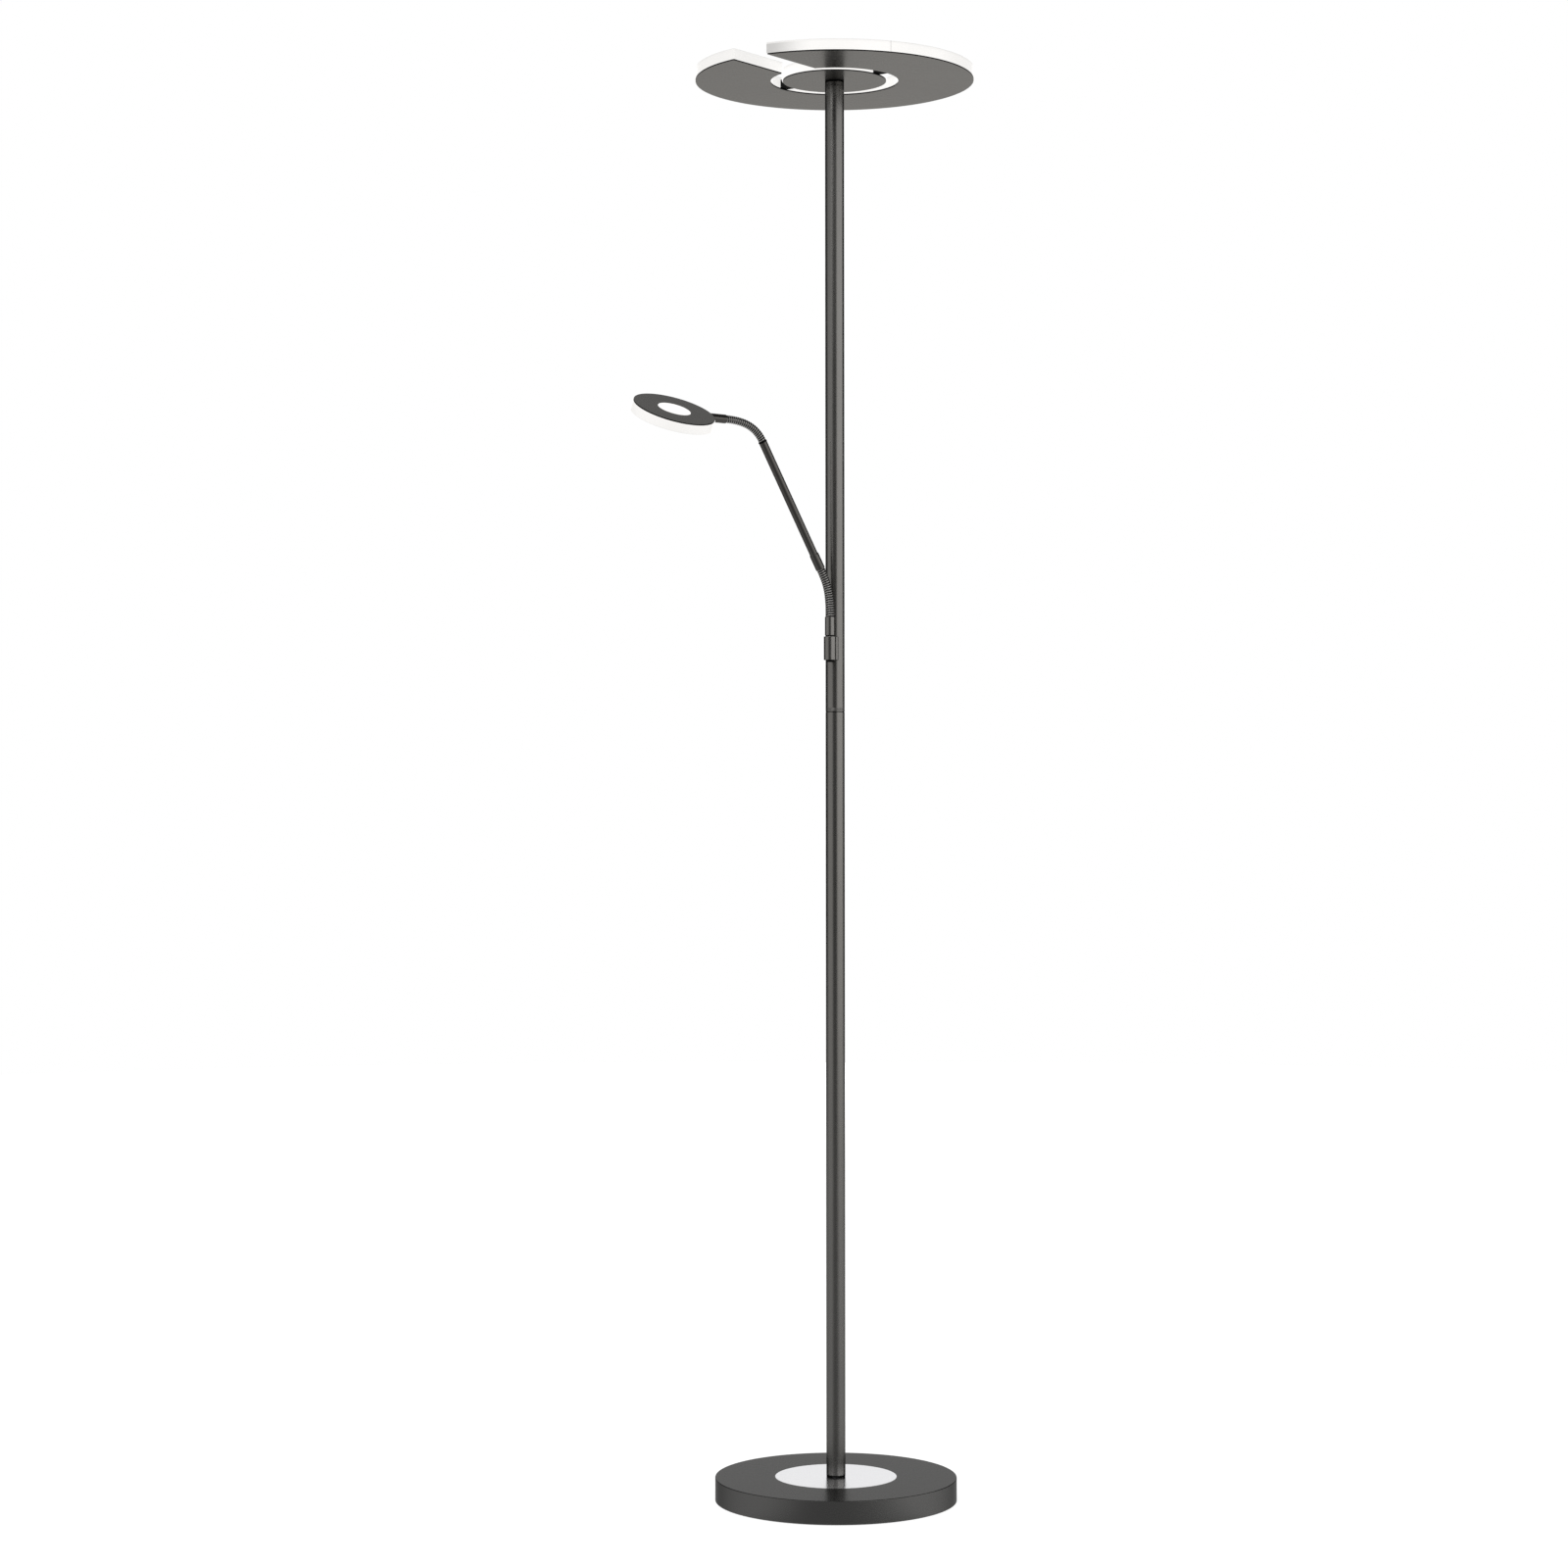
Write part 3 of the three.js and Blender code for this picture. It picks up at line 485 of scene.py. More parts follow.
# ---------------------------------------------------------------- Top collar
# A short turned collar closes the upper tube and bears on the hub plate. The joint under
# it shows as a fine dark line, and a band at its top is painted dark as the shade under
# the plate.
collar_low, collar_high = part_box("pole_collar")[0].z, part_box("pole_collar")[1].z
collar_bore = 4.2 * mm
collar_chamfer = 0.4 * mm
collar_shade = 2 * mm
top_collar_bm = turned([
    (collar_bore, collar_low),
    (pole_r - collar_chamfer, collar_low),
    (pole_r, collar_low + collar_chamfer),
    (pole_r, collar_high - collar_shade),
    (pole_r, collar_high - collar_chamfer),
    (pole_r - collar_chamfer, collar_high),
    (collar_bore, collar_high),
], steps=96)
mark_joint_and_shade_ends(top_collar_bm, collar_low + collar_chamfer, collar_high - collar_shade)
finished("top_collar", top_collar_bm, charcoal, "stand", "charcoal_paint", "pole_collar")

# ---------------------------------------------------------------- Hub and ring plates
# Both plates are laser-cut steel sheet with their edges broken, coated on both faces. The
# ring has a straight slot from its rim to its hole, and the hub sits in that hole.
plate_low, plate_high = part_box("hub_plate")[0].z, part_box("hub_plate")[1].z
hub_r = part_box("hub_plate")[1].x
ring_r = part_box("ring_plate")[1].y
ring_hole = 80.5 * mm
slot_width = 51.5 * mm
slot_turn = math.radians(233)
slot_along = Vector((math.cos(slot_turn), math.sin(slot_turn), 0))
slot_across = Vector((-slot_along.y, slot_along.x, 0))
plate_ease = 0.2 * mm


def mark_shaded_rim(bm):
    """Marks all but the flat faces of a level sheet, to be painted dark as shade along its edges."""
    mark_dark_joint_and_shade(bm, lambda face: abs(face.normal.z) < flat)


hub_bm = turned([
    (collar_bore, plate_low),
    (hub_r, plate_low),
    (hub_r, plate_high),
    (collar_bore, plate_high),
], steps=160)
ease_edges(hub_bm, plate_ease)
# The hub's edges are painted dark as shade.
mark_shaded_rim(hub_bm)
finished("hub_disc", hub_bm, charcoal, "stand", "charcoal_paint", "hub_plate")


def cut_faces(bm, faces, point, normal):
    """Cuts some of a mesh's faces along a plane."""
    geometry = set(faces)
    for face in faces:
        geometry.update(face.edges)
        geometry.update(face.verts)
    bmesh.ops.bisect_plane(bm, geom=list(geometry), dist=1e-7, plane_co=point, plane_no=normal)


def slotted_sheet(outer, inner, width, height):
    """A flat ring with the slot cut through one side, facing up."""
    bm = bmesh.new()
    ends = [bm.verts.new((inner, 0, height)), bm.verts.new((outer, 0, height))]
    edge = bm.edges.new(ends)
    bmesh.ops.spin(
        bm, geom=ends + [edge], cent=(0, 0, 0), axis=(0, 0, 1), dvec=(0, 0, 0),
        angle=2 * math.pi, steps=240, use_merge=True,
    )
    for side in (-1, 1):
        near = [f for f in bm.faces if f.calc_center_median().dot(slot_along) > 0]
        cut_faces(bm, near, slot_across * side * width / 2, slot_across)
    middles = [(f, f.calc_center_median()) for f in bm.faces]
    slot = [f for f, c in middles if c.dot(slot_along) > 0 and abs(c.dot(slot_across)) < width / 2]
    bmesh.ops.delete(bm, geom=slot, context="FACES")
    bmesh.ops.recalc_face_normals(bm, faces=bm.faces)
    if bm.faces[:][0].normal.z < 0:
        bmesh.ops.reverse_faces(bm, faces=bm.faces)
    return bm


def new_verts(extruded):
    """The vertices that an extrusion made."""
    return [v for v in extruded["geom"] if isinstance(v, bmesh.types.BMVert)]


ring_bm = slotted_sheet(ring_r, ring_hole, slot_width, plate_low)
raised = bmesh.ops.extrude_face_region(ring_bm, geom=ring_bm.faces[:])
bmesh.ops.translate(ring_bm, verts=new_verts(raised), vec=(0, 0, plate_high - plate_low))
bmesh.ops.recalc_face_normals(ring_bm, faces=ring_bm.faces)
ease_edges(ring_bm, plate_ease)
# The ring's edges are painted dark as shade.
mark_shaded_rim(ring_bm)
finished("ring_sheet", ring_bm, charcoal, "stand", "charcoal_paint", "ring_plate")

# ---------------------------------------------------------------- Cross bar
# A folded steel channel, painted black, lies across both plates and carries the ring from
# the hub. Only its two short stretches across the gap can be seen.
black = Finish("black_enamel", grey(0.012), 0.35, 0.95)
black.set("Specular Tint", grey(0.06))
speck = black.place.noise(1200, 2)
black.set("Base Color", speck.mixed(grey(0.008), grey(0.016)))
black.set("Roughness", speck * 0.1 + 0.3)
black.bump(speck, 0.00002)

bar_turn = slot_turn - math.pi / 2
bar_length = 226 * mm
bar_width = 15 * mm
bar_wall = 1.2 * mm
bar_low, bar_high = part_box("cross_bar")[0].z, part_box("cross_bar")[1].z
bar_bm = bmesh.new()
bar_half = bar_width / 2
fold = [(-bar_half, bar_high), (-bar_half, bar_low), (bar_half, bar_low), (bar_half, bar_high)]
fold_verts = [bar_bm.verts.new((-bar_length / 2, y, z)) for y, z in fold]
fold_edges = [bar_bm.edges.new(pair) for pair in zip(fold_verts, fold_verts[1:])]
drawn = bmesh.ops.extrude_edge_only(bar_bm, edges=fold_edges)
bmesh.ops.translate(bar_bm, verts=new_verts(drawn), vec=(bar_length, 0, 0))
bmesh.ops.recalc_face_normals(bar_bm, faces=bar_bm.faces)
web = min(bar_bm.faces, key=lambda f: f.calc_center_median().z)
if web.normal.z > 0:
    bmesh.ops.reverse_faces(bar_bm, faces=bar_bm.faces)
bmesh.ops.solidify(bar_bm, geom=bar_bm.faces[:], thickness=bar_wall)
ease_edges(bar_bm, 0.4 * mm)
across_slot = Matrix.Rotation(bar_turn, 3, "Z")
bmesh.ops.rotate(bar_bm, verts=bar_bm.verts, cent=(0, 0, 0), matrix=across_slot)
finished("cross_channel", bar_bm, black, "stand", "black_paint", "cross_bar")

# ---------------------------------------------------------------- Uplight diffusers
# The hub and the ring each carry a cover of opal acrylic, bonded from a flat top and bent
# strips. They stand a millimetre proud of the plates, and glow from the LEDs inside.


def acrylic(name, glow_and_shade):
    """Opal acrylic lit from behind. glow_and_shade gives the share of the light that comes through,
    with any painted shade in it; the share darkens the milky base colour too.
    """
    milky = (0.42, 0.41, 0.4, 1)
    glow = (0.73, 0.723, 0.711, 1)
    opal = Finish(name, milky, 0.28, 0.0)
    share = glow_and_shade(opal, opal.place.noise(14, 2) * 0.06 + 0.94)
    opal.set("Base Color", share.mixed(grey(0), milky))
    opal.set("Emission Color", share.mixed(grey(0), glow))
    opal.shader.inputs["Emission Strength"].default_value = 1.0
    return opal


def ring_glow_and_shade(opal, share):
    """The light falls off by the slot, where the LEDs end, and the wall's joint is a darker line.
    The top and the band under its round are painted darker, as painted shade that sets them off from
    a white backdrop.
    """
    x, y, z = opal.place.parts()
    radius = opal.place.from_axis()
    from_slot = x * slot_across.x + y * slot_across.y
    along_slot = x * slot_along.x + y * slot_along.y
    on_wall = z.step(opal_top, opal_top - 3 * mm)
    by_slot = along_slot.step(60 * mm, 120 * mm) * radius.step(90 * mm, 130 * mm) * on_wall
    right_end = by_slot * from_slot.step(20 * mm, 26 * mm) * from_slot.step(85 * mm, 28 * mm)
    left_end = by_slot * from_slot.step(-20 * mm, -26 * mm) * from_slot.step(-100 * mm, -28 * mm)
    off_joint = opal.math("ABSOLUTE", opal.math("ARCTAN2", y, x) - joint_turn)
    seam = off_joint.step(0.006, 0.003) * radius.step(170 * mm, 174 * mm)
    # Painted shade: the band under the rounded top edge and the top face are made darker.
    brow = z.step(opal_top - 4 * mm, opal_top - 1 * mm)
    painted_top_shade = z.step(opal_top - 0.9 * mm, opal_top - 0.2 * mm)
    return share - right_end * 0.38 - left_end * 0.06 - seam * 0.2 - brow * 0.04 - painted_top_shade * 0.26


joint_turn = math.radians(-68)
lip = 1 * mm
opal_wall = 2 * mm
wall_trim = 0.15 * mm  # keeps the outer walls within the lamp's overall size
opal_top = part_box("ring_diffuser")[1].z
opal = acrylic("opal_acrylic", ring_glow_and_shade)
brow_round = 0.7 * mm
notch_clear = 0.5 * mm
notch_half = bar_width / 2 + notch_clear
notch_top = bar_high + notch_clear
bar_across = Vector((-math.sin(bar_turn), math.cos(bar_turn), 0))


def notched_cover(bm, wall_r):
    """Gives a flat top its walls down to the plates, the notches for the bar and its thickness."""
    border = [e for e in bm.edges if e.is_boundary]
    dropped = bmesh.ops.extrude_edge_only(bm, edges=border)
    bmesh.ops.translate(bm, verts=new_verts(dropped), vec=(0, 0, plate_high - opal_top))
    bmesh.ops.recalc_face_normals(bm, faces=bm.faces)
    top_face = max(bm.faces, key=lambda f: f.calc_center_median().z)
    if top_face.normal.z < 0:
        bmesh.ops.reverse_faces(bm, faces=bm.faces)
    brow = [e for e in bm.edges if len(e.link_faces) == 2 and e.calc_face_angle() > 1]
    rounded(bm, brow, brow_round, 3)

    def wall_faces():
        """The faces of the wall that the bar goes through, at either end."""
        found = []
        for face in bm.faces:
            middle = face.calc_center_median()
            on_wall = abs(middle.xy.length - wall_r) < mm and abs(face.normal.z) < 0.1
            if on_wall and abs(middle.dot(bar_across)) < 2 * bar_width:
                found.append(face)
        return found

    for side in (-1, 1):
        cut_faces(bm, wall_faces(), bar_across * side * notch_half, bar_across)
    cut_faces(bm, wall_faces(), Vector((0, 0, notch_top)), Vector((0, 0, 1)))
    middles = [(f, f.calc_center_median()) for f in wall_faces()]
    notch = [f for f, c in middles if abs(c.dot(bar_across)) < notch_half and c.z < notch_top]
    bmesh.ops.delete(bm, geom=notch, context="FACES")
    bmesh.ops.solidify(bm, geom=bm.faces[:], thickness=opal_wall)


hub_cover_bm = bmesh.new()
bmesh.ops.create_circle(hub_cover_bm, cap_ends=False, segments=180, radius=hub_r + lip)
bmesh.ops.translate(hub_cover_bm, verts=hub_cover_bm.verts, vec=(0, 0, opal_top))
bmesh.ops.contextual_create(hub_cover_bm, geom=hub_cover_bm.edges[:])
notched_cover(hub_cover_bm, hub_r + lip)
finished("hub_opal", hub_cover_bm, opal, "stand", "opal_acrylic", "hub_diffuser")

cover_hole = ring_hole - lip
ring_cover_bm = slotted_sheet(ring_r + lip - wall_trim, cover_hole, slot_width - 2 * lip, opal_top)
notched_cover(ring_cover_bm, cover_hole)
bmesh.ops.remove_doubles(ring_cover_bm, verts=ring_cover_bm.verts, dist=hair)
finished("ring_opal", ring_cover_bm, opal, "stand", "opal_acrylic", "ring_diffuser")

# ---------------------------------------------------------------- Arm bracket
# The reading arm stands in a turned socket, which a small cast saddle holds off the pole.
# One hidden nipple pulls the saddle against the tube, and the arm's wires pass through it.
joints = {joint["name"]: joint for joint in frame["joints"]}
swivel = Vector(joints["arm_swivel"]["pos_m"])
socket_low, socket_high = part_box("arm_bracket")[0].z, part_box("arm_bracket")[1].z
socket_r = 7.75 * mm
socket_floor = 3 * mm
stub_r = 5.1 * mm
screw_hole_r = 2.2 * mm
socket_bm = turned([
    (stub_r, socket_low + socket_floor),
    (screw_hole_r, socket_low + socket_floor),
    (screw_hole_r, socket_low),
    (socket_r, socket_low),
    (socket_r, socket_high),
    (stub_r, socket_high),
], steps=72)
ease_edges(socket_bm, 0.5 * mm)
bmesh.ops.translate(socket_bm, verts=socket_bm.verts, vec=(swivel.x, swivel.y, 0))
finished("arm_socket", socket_bm, charcoal, "stand", "charcoal_paint", "arm_bracket")

saddle_width = 17 * mm
saddle_near = 10 * mm
saddle_far = 17 * mm
saddle_height = socket_high - socket_low
saddle_round = 3.2 * mm
saddle_turn = Matrix.Rotation(math.atan2(swivel.y, swivel.x), 3, "Z")
saddle_bm = bmesh.new()
bmesh.ops.create_cube(saddle_bm, size=1)
saddle_size = Vector((saddle_far - saddle_near, saddle_width, saddle_height))
bmesh.ops.scale(saddle_bm, verts=saddle_bm.verts, vec=saddle_size)
saddle_middle = ((saddle_near + saddle_far) / 2, 0, (socket_low + socket_high) / 2)
bmesh.ops.translate(saddle_bm, verts=saddle_bm.verts, vec=saddle_middle)
upright = [e for e in saddle_bm.edges if e.calc_length() > saddle_height * 0.9]
rounded(saddle_bm, upright, saddle_round, 8)
ease_edges(saddle_bm, 0.6 * mm)
bmesh.ops.rotate(saddle_bm, verts=saddle_bm.verts, cent=(0, 0, 0), matrix=saddle_turn)
finished("arm_saddle", saddle_bm, charcoal, "stand", "charcoal_paint")

# ---------------------------------------------------------------- Swivel
# A turned ferrule stands on a thin friction washer and turns in the socket. The screw that
# holds it has a domed head, which shows under the socket.
washer_low, washer_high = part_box("swivel_washer")[0].z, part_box("swivel_washer")[1].z
ferrule_r = 6.35 * mm
washer_r = ferrule_r - 0.5 * mm
washer_bm = turned([
    (stub_r, washer_low),
    (washer_r, washer_low),
    (washer_r, washer_high),
    (stub_r, washer_high),
], steps=64)
bmesh.ops.translate(washer_bm, verts=washer_bm.verts, vec=(swivel.x, swivel.y, 0))
finished("friction_washer", washer_bm, rubber, "stand", "black_plastic", "swivel_washer")

ferrule_low, ferrule_high = washer_high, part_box("swivel_ferrule")[1].z
shank_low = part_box("swivel_ferrule")[0].z
shank_r = stub_r - 0.1 * mm
ferrule_foot = 1.2 * mm
ferrule_ease = 0.6 * mm
ferrule_bm = turned([
    (0, shank_low),
    (shank_r, shank_low),
    (shank_r, ferrule_low),
    (ferrule_r - ferrule_foot, ferrule_low),
    (ferrule_r, ferrule_low + ferrule_foot),
    (ferrule_r, ferrule_high - ferrule_ease),
    (ferrule_r - ferrule_ease, ferrule_high),
    (0, ferrule_high),
], steps=72, closed=False)
bmesh.ops.translate(ferrule_bm, verts=ferrule_bm.verts, vec=(swivel.x, swivel.y, 0))
finished("arm_ferrule", ferrule_bm, charcoal, "ferrule", "charcoal_paint", "swivel_ferrule")

screw_low, screw_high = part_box("pivot_screw")[0].z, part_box("pivot_screw")[1].z
screw_r = 4.5 * mm
screw_shank = 2 * mm
screw_seat = socket_low - 0.05 * mm
screw_dome = 1.6 * mm
screw_bm = turned([
    (0, screw_low),
    (screw_r * 0.62, screw_low),
    (screw_r * 0.9, screw_low + screw_dome / 2),
    (screw_r, screw_low + screw_dome),
    (screw_r, screw_seat),
    (screw_shank, screw_seat),
    (screw_shank, screw_high),
    (0, screw_high),
], steps=48, closed=False)
bmesh.ops.translate(screw_bm, verts=screw_bm.verts, vec=(swivel.x, swivel.y, 0))
finished("pivot_screw_head", screw_bm, black, "ferrule", "black_paint", "pivot_screw")

# ---------------------------------------------------------------- Flexible stretches
# Each stretch is a gooseneck: a steel wire wound close, with its turns showing as fine
# ridges, blackened. It bends smoothly, so each sleeve here bends across one hinge.
wound = Finish("wound_steel", grey(0.2), 0.3, 0.9)
wear = wound.place.noise(500, 3)
groove = wound.node("ShaderNodeAttribute", {"attribute_name": "groove"}, {}, 2)
# Painted shade and highlight: the grooves are painted near black as shade between the turns, and the
# crests light as a highlight; wear varies the crests.
crest_highlight_groove_shade = groove.step(0.75, 0.15) * (wear * 0.3 + 0.7)
wound.set("Base Color", crest_highlight_groove_shade.mixed(grey(0.01), (0.5, 0.49, 0.475, 1)))
wound.set("Roughness", wear * 0.15 + 0.22)
wound.bump(wear, 0.00002)

wire_pitch = 3 * mm
wire_steps = 36
ridge_points = 6
ridge_crown = 1.6
lower_hinges = [joints[f"lower_bend_{i}"] for i in range(1, 5)] + [joints["lower_bend"]]
upper_hinges = [joints[f"upper_bend_{i}"] for i in range(1, 6)] + [joints["upper_bend"]]
lower_places = [Vector(hinge["pos_m"]) for hinge in lower_hinges]
upper_places = [Vector(hinge["pos_m"]) for hinge in upper_hinges]
lower_length = (lower_places[1] - lower_places[0]).length
upper_length = (upper_places[1] - upper_places[0]).length
swivel_axis = Vector((0, 0, 1))
arm_axis = (upper_places[0] - lower_places[-1]).normalized()
neck_end = Vector(joints["head_turn"]["pos_m"])
neck_axis = (neck_end - upper_places[-1]).normalized()


def wound_sleeve(radius, low, high):
    """A straight length of the wound tube, cut from a helix that always starts at height 0."""
    bm = bmesh.new()
    depth = 0.1 * radius
    outline = []
    for i in range(ridge_points + 1):
        along = i / ridge_points
        dip = abs(math.cos(math.pi * along)) ** ridge_crown
        outline.append((radius - depth * dip, wire_pitch * along))
    start = (math.floor(low / wire_pitch) - 1) * wire_pitch
    verts = [bm.verts.new((r, 0, z + start)) for r, z in outline]
    edges = [bm.edges.new(pair) for pair in zip(verts, verts[1:])]
    turns = math.ceil((high - start) / wire_pitch) + 2
    bmesh.ops.spin(
        bm, geom=verts + edges, cent=(0, 0, 0), axis=(0, 0, 1),
        dvec=(0, 0, wire_pitch / wire_steps), angle=2 * math.pi * turns,
        steps=wire_steps * turns, use_merge=False,
    )
    bmesh.ops.remove_doubles(bm, verts=bm.verts, dist=1e-6)
    for height, outer, inner in ((low, False, True), (high, True, False)):
        bmesh.ops.bisect_plane(
            bm, geom=bm.verts[:] + bm.edges[:] + bm.faces[:], dist=1e-7,
            plane_co=(0, 0, height), plane_no=(0, 0, 1), clear_outer=outer, clear_inner=inner,
        )
    bmesh.ops.holes_fill(bm, edges=[e for e in bm.edges if e.is_boundary])
    bmesh.ops.triangulate(bm, faces=[f for f in bm.faces if len(f.verts) > 4])
    bmesh.ops.recalc_face_normals(bm, faces=bm.faces)
    bmesh.ops.translate(bm, verts=bm.verts, vec=(0, 0, -low))
    groove_depth = bm.verts.layers.float.new("groove")
    for vert in bm.verts:
        vert[groove_depth] = (radius - vert.co.xy.length) / depth
    return bm


def bent(bm, length, hinge, before, after, axis):
    """Bends a straight sleeve, standing on Z from 0 to length, round an arc over its hinge."""
    angle = before.angle(after)
    radius = length / 2 / math.tan(angle / 2)
    start = hinge - before * length / 2
    side = axis.cross(before)
    for vert in bm.verts:
        turn = angle * vert.co.z / length
        middle = start + (before * math.sin(turn) + side * (1 - math.cos(turn))) * radius
        outward = side * math.cos(turn) - before * math.sin(turn)
        vert.co = middle + outward * vert.co.x + axis * vert.co.y


def flexible(name, hinges, places, first, last, radius, length, nodes):
    """One sleeve over each hinge. Neighbours meet at the middle of a link and share its turns."""
    ways = [first] + [(b - a).normalized() for a, b in zip(places, places[1:])] + [last]
    for i, hinge in enumerate(hinges):
        bm = wound_sleeve(radius, i * length, (i + 1) * length)
        bent(bm, length, places[i], ways[i], ways[i + 1], Vector(hinge["axis"]))
        start = places[i] - ways[i] * length / 2
        end = places[i] + ways[i + 1] * length / 2
        piece_name = f"{name}_{i + 1}"
        sleeve = finished(piece_name, bm, wound, None, "flex_metal", *nodes[i], smooth=50)
        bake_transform(sleeve)


lower_r = 5.5 * mm
upper_r = 5 * mm
lower_nodes = [["lower_flex_root", "lower_flex_link_1"]]
lower_nodes += [[f"lower_flex_link_{i}"] for i in range(2, 5)] + [["lower_flex_end"]]
upper_nodes = [["upper_flex_root", "upper_flex_link_1"]]
upper_nodes += [[f"upper_flex_link_{i}"] for i in range(2, 6)] + [["upper_flex_end"]]
flexible(
    "lower_gooseneck", lower_hinges, lower_places, swivel_axis, arm_axis,
    lower_r, lower_length, lower_nodes,
)
flexible(
    "upper_gooseneck", upper_hinges, upper_places, arm_axis, neck_axis,
    upper_r, upper_length, upper_nodes,
)

# ---------------------------------------------------------------- Arm tube
# A collar is crimped over the top of the lower gooseneck and holds the arm's thin steel
# tube. A narrow black ring closes the tube's far end, where the upper gooseneck goes in.


def laid(bm, origin, axis):
    """Moves a piece standing on Z so that it stands at origin along axis."""
    turn = Vector((0, 0, 1)).rotation_difference(axis).to_matrix().to_4x4()
    bmesh.ops.transform(bm, verts=bm.verts, matrix=Matrix.Translation(origin) @ turn)


# A darker copy of the pole's satin charcoal, as painted shade that dims the arm's and the neck's
# reflections.
shaded_arm_coat = satin("charcoal_arm_shaded", (0.105, 0.101, 0.096, 1), (0.125, 0.12, 0.114, 1), 0.2)
arm_start = lower_places[-1] + arm_axis * lower_length / 2
arm_end = upper_places[0] - arm_axis * upper_length / 2
arm_length = (arm_end - arm_start).length
arm_collar_r = 5.9 * mm
arm_collar_length = 21 * mm
arm_collar_ease = 0.4 * mm
crimp = 1.2 * mm
arm_r = 5.1 * mm
arm_wall = 1 * mm
end_ring_r = 5.5 * mm
end_ring_length = 1.6 * mm
arm_collar_bm = turned([
    (0, 0),
    (arm_collar_r - arm_collar_ease, 0),
    (arm_collar_r, arm_collar_ease),
    (arm_collar_r, arm_collar_length - crimp),
    (arm_r + 0.1 * mm, arm_collar_length),
    (0, arm_collar_length),
], steps=64, closed=False)
laid(arm_collar_bm, arm_start, arm_axis)
finished("crimped_collar", arm_collar_bm, shaded_arm_coat, "arm", "charcoal_paint", "arm_collar")

tube_length = arm_length - arm_collar_length - end_ring_length
tube_bm = turned([
    (arm_r - arm_wall, 0),
    (arm_r, 0),
    (arm_r, tube_length),
    (arm_r - arm_wall, tube_length),
], steps=64)
laid(tube_bm, arm_start + arm_axis * arm_collar_length, arm_axis)
finished("arm_pipe", tube_bm, shaded_arm_coat, "arm", "charcoal_paint", "arm_tube")

end_ring_bm = turned([
    (0, 0),
    (end_ring_r, 0),
    (end_ring_r, end_ring_length),
    (0, end_ring_length),
], steps=64, closed=False)
ease_edges(end_ring_bm, 0.35 * mm)
laid(end_ring_bm, arm_end - arm_axis * end_ring_length, arm_axis)
finished("end_ring", end_ring_bm, black, "arm", "black_paint", "tube_ring")

# ---------------------------------------------------------------- Neck
# The neck is a turned ferrule on the end of the upper gooseneck. The reading head's stub
# turns in its bore.
neck_start = upper_places[-1] + neck_axis * upper_length / 2
neck_length = (neck_end - neck_start).length
neck_r = 5.4 * mm
neck_chamfer = 0.8 * mm
neck_ease = 0.5 * mm
neck_bore = 3.2 * mm
pin_depth = 8 * mm
neck_bm = turned([
    (0, 0),
    (neck_r - neck_chamfer, 0),
    (neck_r, neck_chamfer),
    (neck_r, neck_length - neck_ease),
    (neck_r - neck_ease, neck_length),
    (neck_bore, neck_length),
    (neck_bore, neck_length - pin_depth),
    (0, neck_length - pin_depth),
], steps=64, closed=False)
laid(neck_bm, neck_start, neck_axis)
finished("neck_tube", neck_bm, shaded_arm_coat, "neck", "charcoal_paint", "neck_ferrule")

# ---------------------------------------------------------------- Reading head
# The reading head is a small disc on a stub: a coated steel plate on top, and under it an
# opal acrylic cup with the LEDs. An opal window fills the hole in the plate.
head_roll = math.radians(26.7)
head_axis = Vector(joints["head_turn"]["axis"])
level = (Vector((0, 0, 1)) - head_axis * head_axis.z).normalized()
head_up = Matrix.Rotation(-head_roll, 3, head_axis) @ level
head_side = head_up.cross(head_axis)
head_r = 52 * mm
head_gap = 1.2 * mm
head_half = 6.6 * mm
head_plate = 1.5 * mm
head_hole = 20.7 * mm
head_plate_r = 51 * mm
head_centre = neck_end + head_axis * (head_gap + head_r)
head_matrix = Matrix((head_axis, head_side, head_up)).transposed().to_4x4()
head_matrix.translation = head_centre
under_plate = head_half - head_plate

plate_bm = turned([
    (head_hole, under_plate),
    (head_plate_r, under_plate),
    (head_plate_r, head_half),
    (head_hole, head_half),
], steps=128)
ease_edges(plate_bm, 0.3 * mm)
# The reading plate's edges are painted dark as shade.
mark_shaded_rim(plate_bm)
bmesh.ops.transform(plate_bm, verts=plate_bm.verts, matrix=head_matrix)
finished("reading_disc", plate_bm, charcoal, "reading_head", "charcoal_paint", "reading_plate")


def reading_glow_and_shade(opal, share):
    """The cup's flat face is painted a little darker than its wall, as shade."""
    x, y, z = opal.place.parts()
    height = x * head_up.x + y * head_up.y + z * head_up.z
    face = head_centre.dot(head_up) - head_half
    return share - height.step(face + 0.9 * mm, face + 0.2 * mm) * 0.16


reading_opal = acrylic("reading_acrylic", reading_glow_and_shade)
window_r = head_hole - 0.15 * mm
window_top = head_half - 0.05 * mm
flange_r = head_hole + 1.8 * mm
flange_top = under_plate - 0.3 * mm
flange_low = under_plate - 1.9 * mm
window_bm = turned([
    (0, flange_low),
    (flange_r, flange_low),
    (flange_r, flange_top),
    (window_r, flange_top),
    (window_r, window_top),
    (0, window_top),
], steps=96, closed=False)
ease_edges(window_bm, 0.2 * mm)
bmesh.ops.transform(window_bm, verts=window_bm.verts, matrix=head_matrix)
finished(
    "reading_opal_window", window_bm, reading_opal, "reading_head", "opal_acrylic", "reading_window",
)

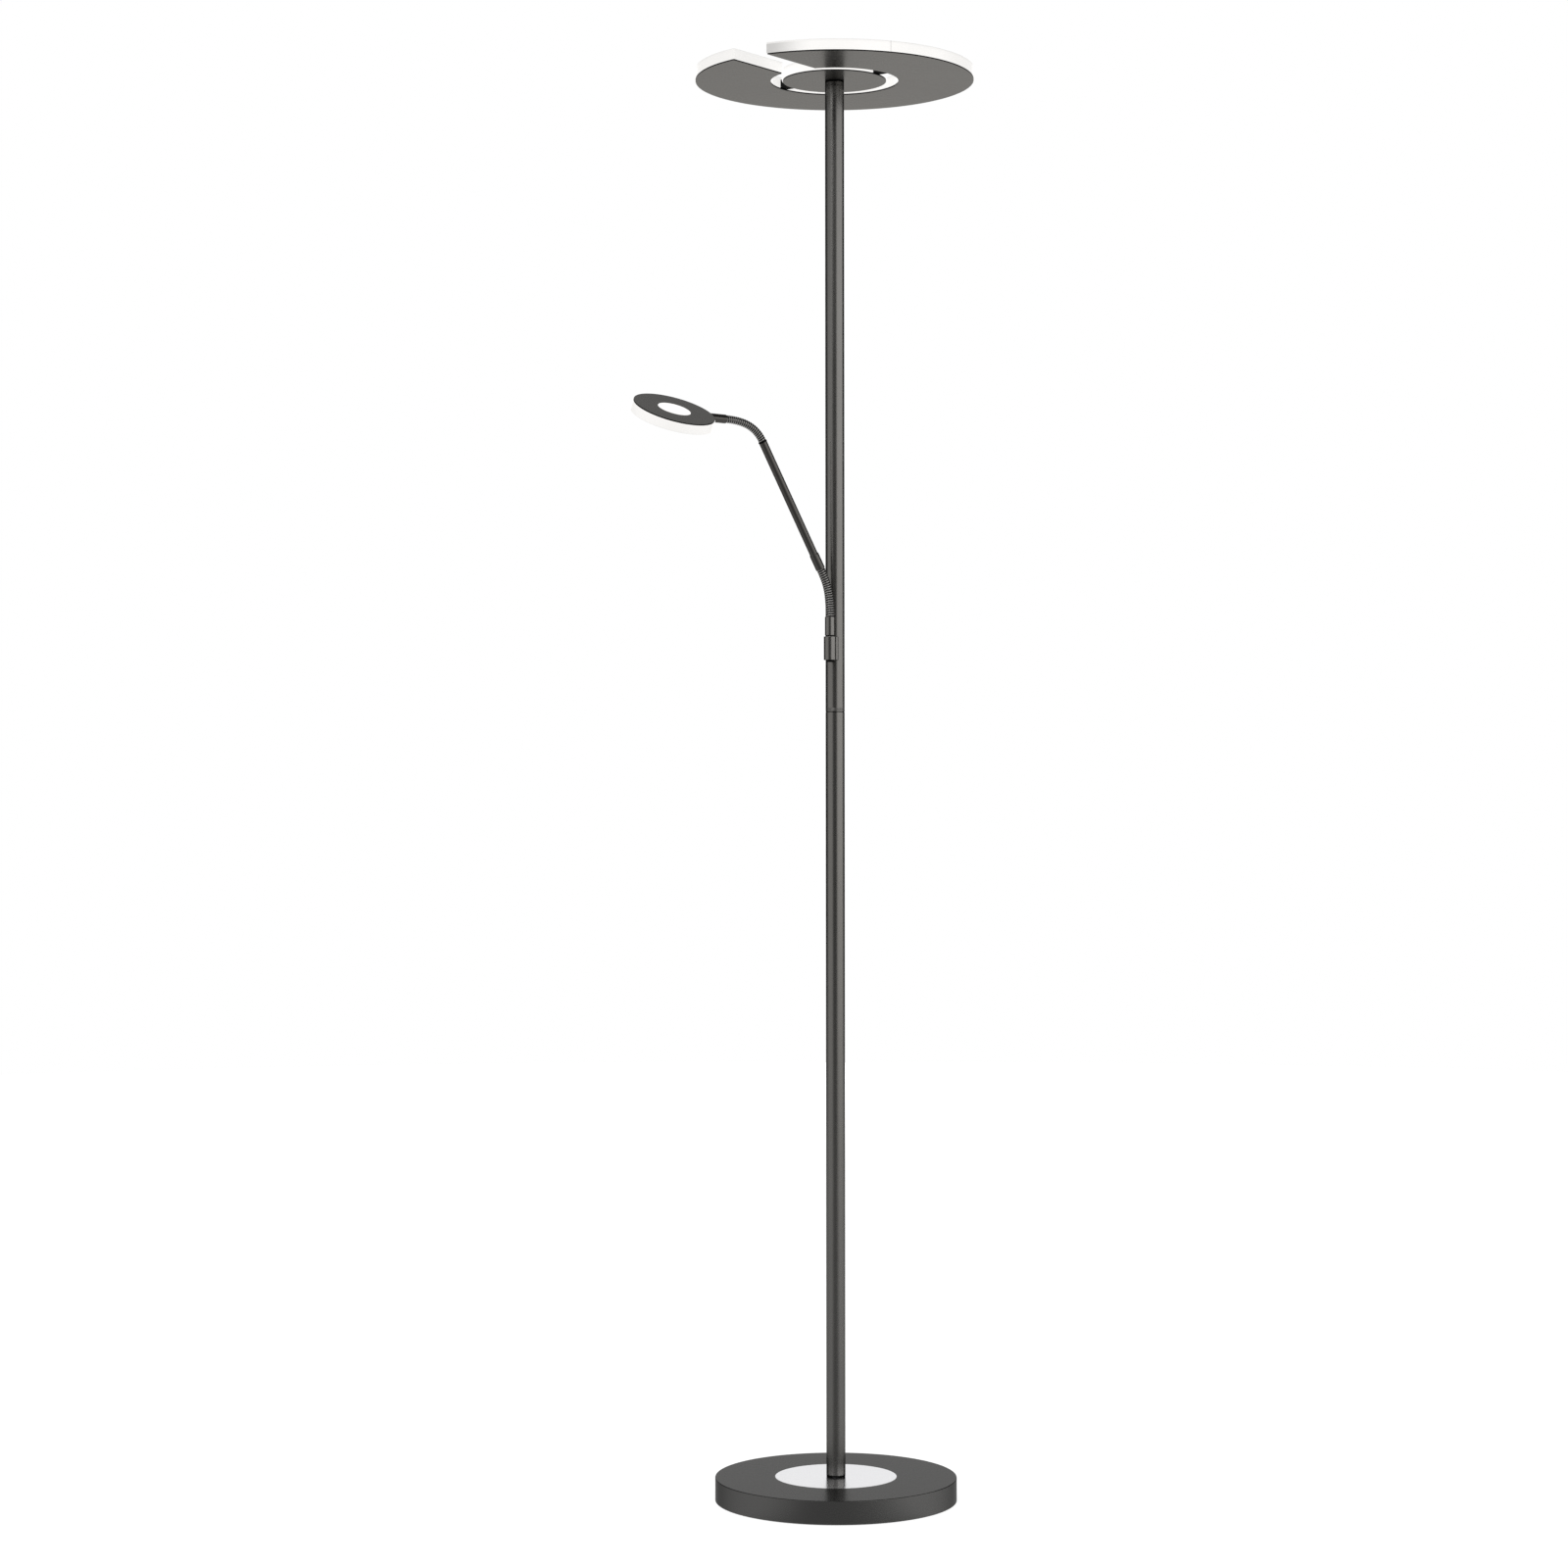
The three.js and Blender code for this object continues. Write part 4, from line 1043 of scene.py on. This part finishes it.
cup_wall = 1.8 * mm
cup_r = head_r - 2 * wall_trim
cup_rim = under_plate - 0.05 * mm
cup_bm = turned([
    (0, -head_half),
    (cup_r, -head_half),
    (cup_r, cup_rim),
    (head_r - cup_wall, cup_rim),
    (head_r - cup_wall, -head_half + cup_wall),
    (0, -head_half + cup_wall),
], steps=128, closed=False)
ease_edges(cup_bm, 0.6 * mm, segments=3)
bmesh.ops.transform(cup_bm, verts=cup_bm.verts, matrix=head_matrix)
finished(
    "reading_opal_cup", cup_bm, reading_opal, "reading_head", "opal_acrylic", "reading_diffuser",
)

pin_r = neck_bore - 0.1 * mm
pin_top = head_gap + 6 * mm
shoulder_r = 4.6 * mm
shoulder_low = 0.1 * mm
shoulder_top = head_gap + 0.3 * mm
stub_bm = turned([
    (0, -pin_depth),
    (pin_r, -pin_depth),
    (pin_r, shoulder_low),
    (shoulder_r, shoulder_low),
    (shoulder_r, shoulder_top),
    (pin_r, shoulder_top),
    (pin_r, pin_top),
    (0, pin_top),
], steps=48, closed=False)
laid(stub_bm, neck_end, head_axis)
finished("stub_pin", stub_bm, black, "reading_head", "black_paint", "reading_stub")

# ---------------------------------------------------------------- Pieces inside
# These stay as the frame has them: the iron ballast, the driver with its leads, the LED
# boards, and the plated nipples, nuts, washers and inserts that hold the lamp together.
iron = Finish("cast_iron", grey(0.03), 0.7, 0.4)
sand = iron.place.noise(420, 5, 0.65)
iron.set("Base Color", sand.mixed(grey(0.015), grey(0.05)))
iron.set("Roughness", sand * 0.25 + 0.55)
iron.bump(sand, 0.0003)

casing = Finish("driver_case", grey(0.7), 0.5, 0.0)
spark = casing.place.noise(1600, 3)
casing.set("Base Color", spark.mixed(grey(0.6), grey(0.7)))
casing.bump(spark, 0.00004)

mask = Finish("led_board", grey(0.8), 0.4, 0.0)
weave = mask.place.noise(700, 2)
mask.set("Base Color", weave.mixed((0.74, 0.74, 0.7, 1), (0.84, 0.84, 0.8, 1)))
mask.set("Roughness", weave * 0.2 + 0.3)

zinc = Finish("zinc_plate", (0.55, 0.55, 0.53, 1), 0.35, 0.9)
spangle = zinc.place.noise(260, 4)
zinc.set("Base Color", spangle.mixed((0.45, 0.45, 0.43, 1), (0.66, 0.66, 0.63, 1)))
zinc.set("Roughness", spangle * 0.2 + 0.28)
zinc.bump(spangle, 0.00003)

inside = {
    iron: ["ballast"],
    casing: ["led_driver"],
    mask: ["ring_led_board", "hub_led_board_1", "hub_led_board_2", "reading_led_board"],
    rubber: ["driver_lead", "pole_cable"],
    zinc: [
        "base_washer", "base_nut", "base_nipple", "pole_foot", "joint_stud", "joint_socket",
        "top_insert", "head_washer", "head_nut", "head_nipple", "bar_screw_1", "bar_screw_2",
        "bracket_nipple", "bracket_nut",
    ],
}
for finish, names in inside.items():
    for name in names:
        for slot in frame["nodes"][name].material_slots:
            slot.material = finish.material
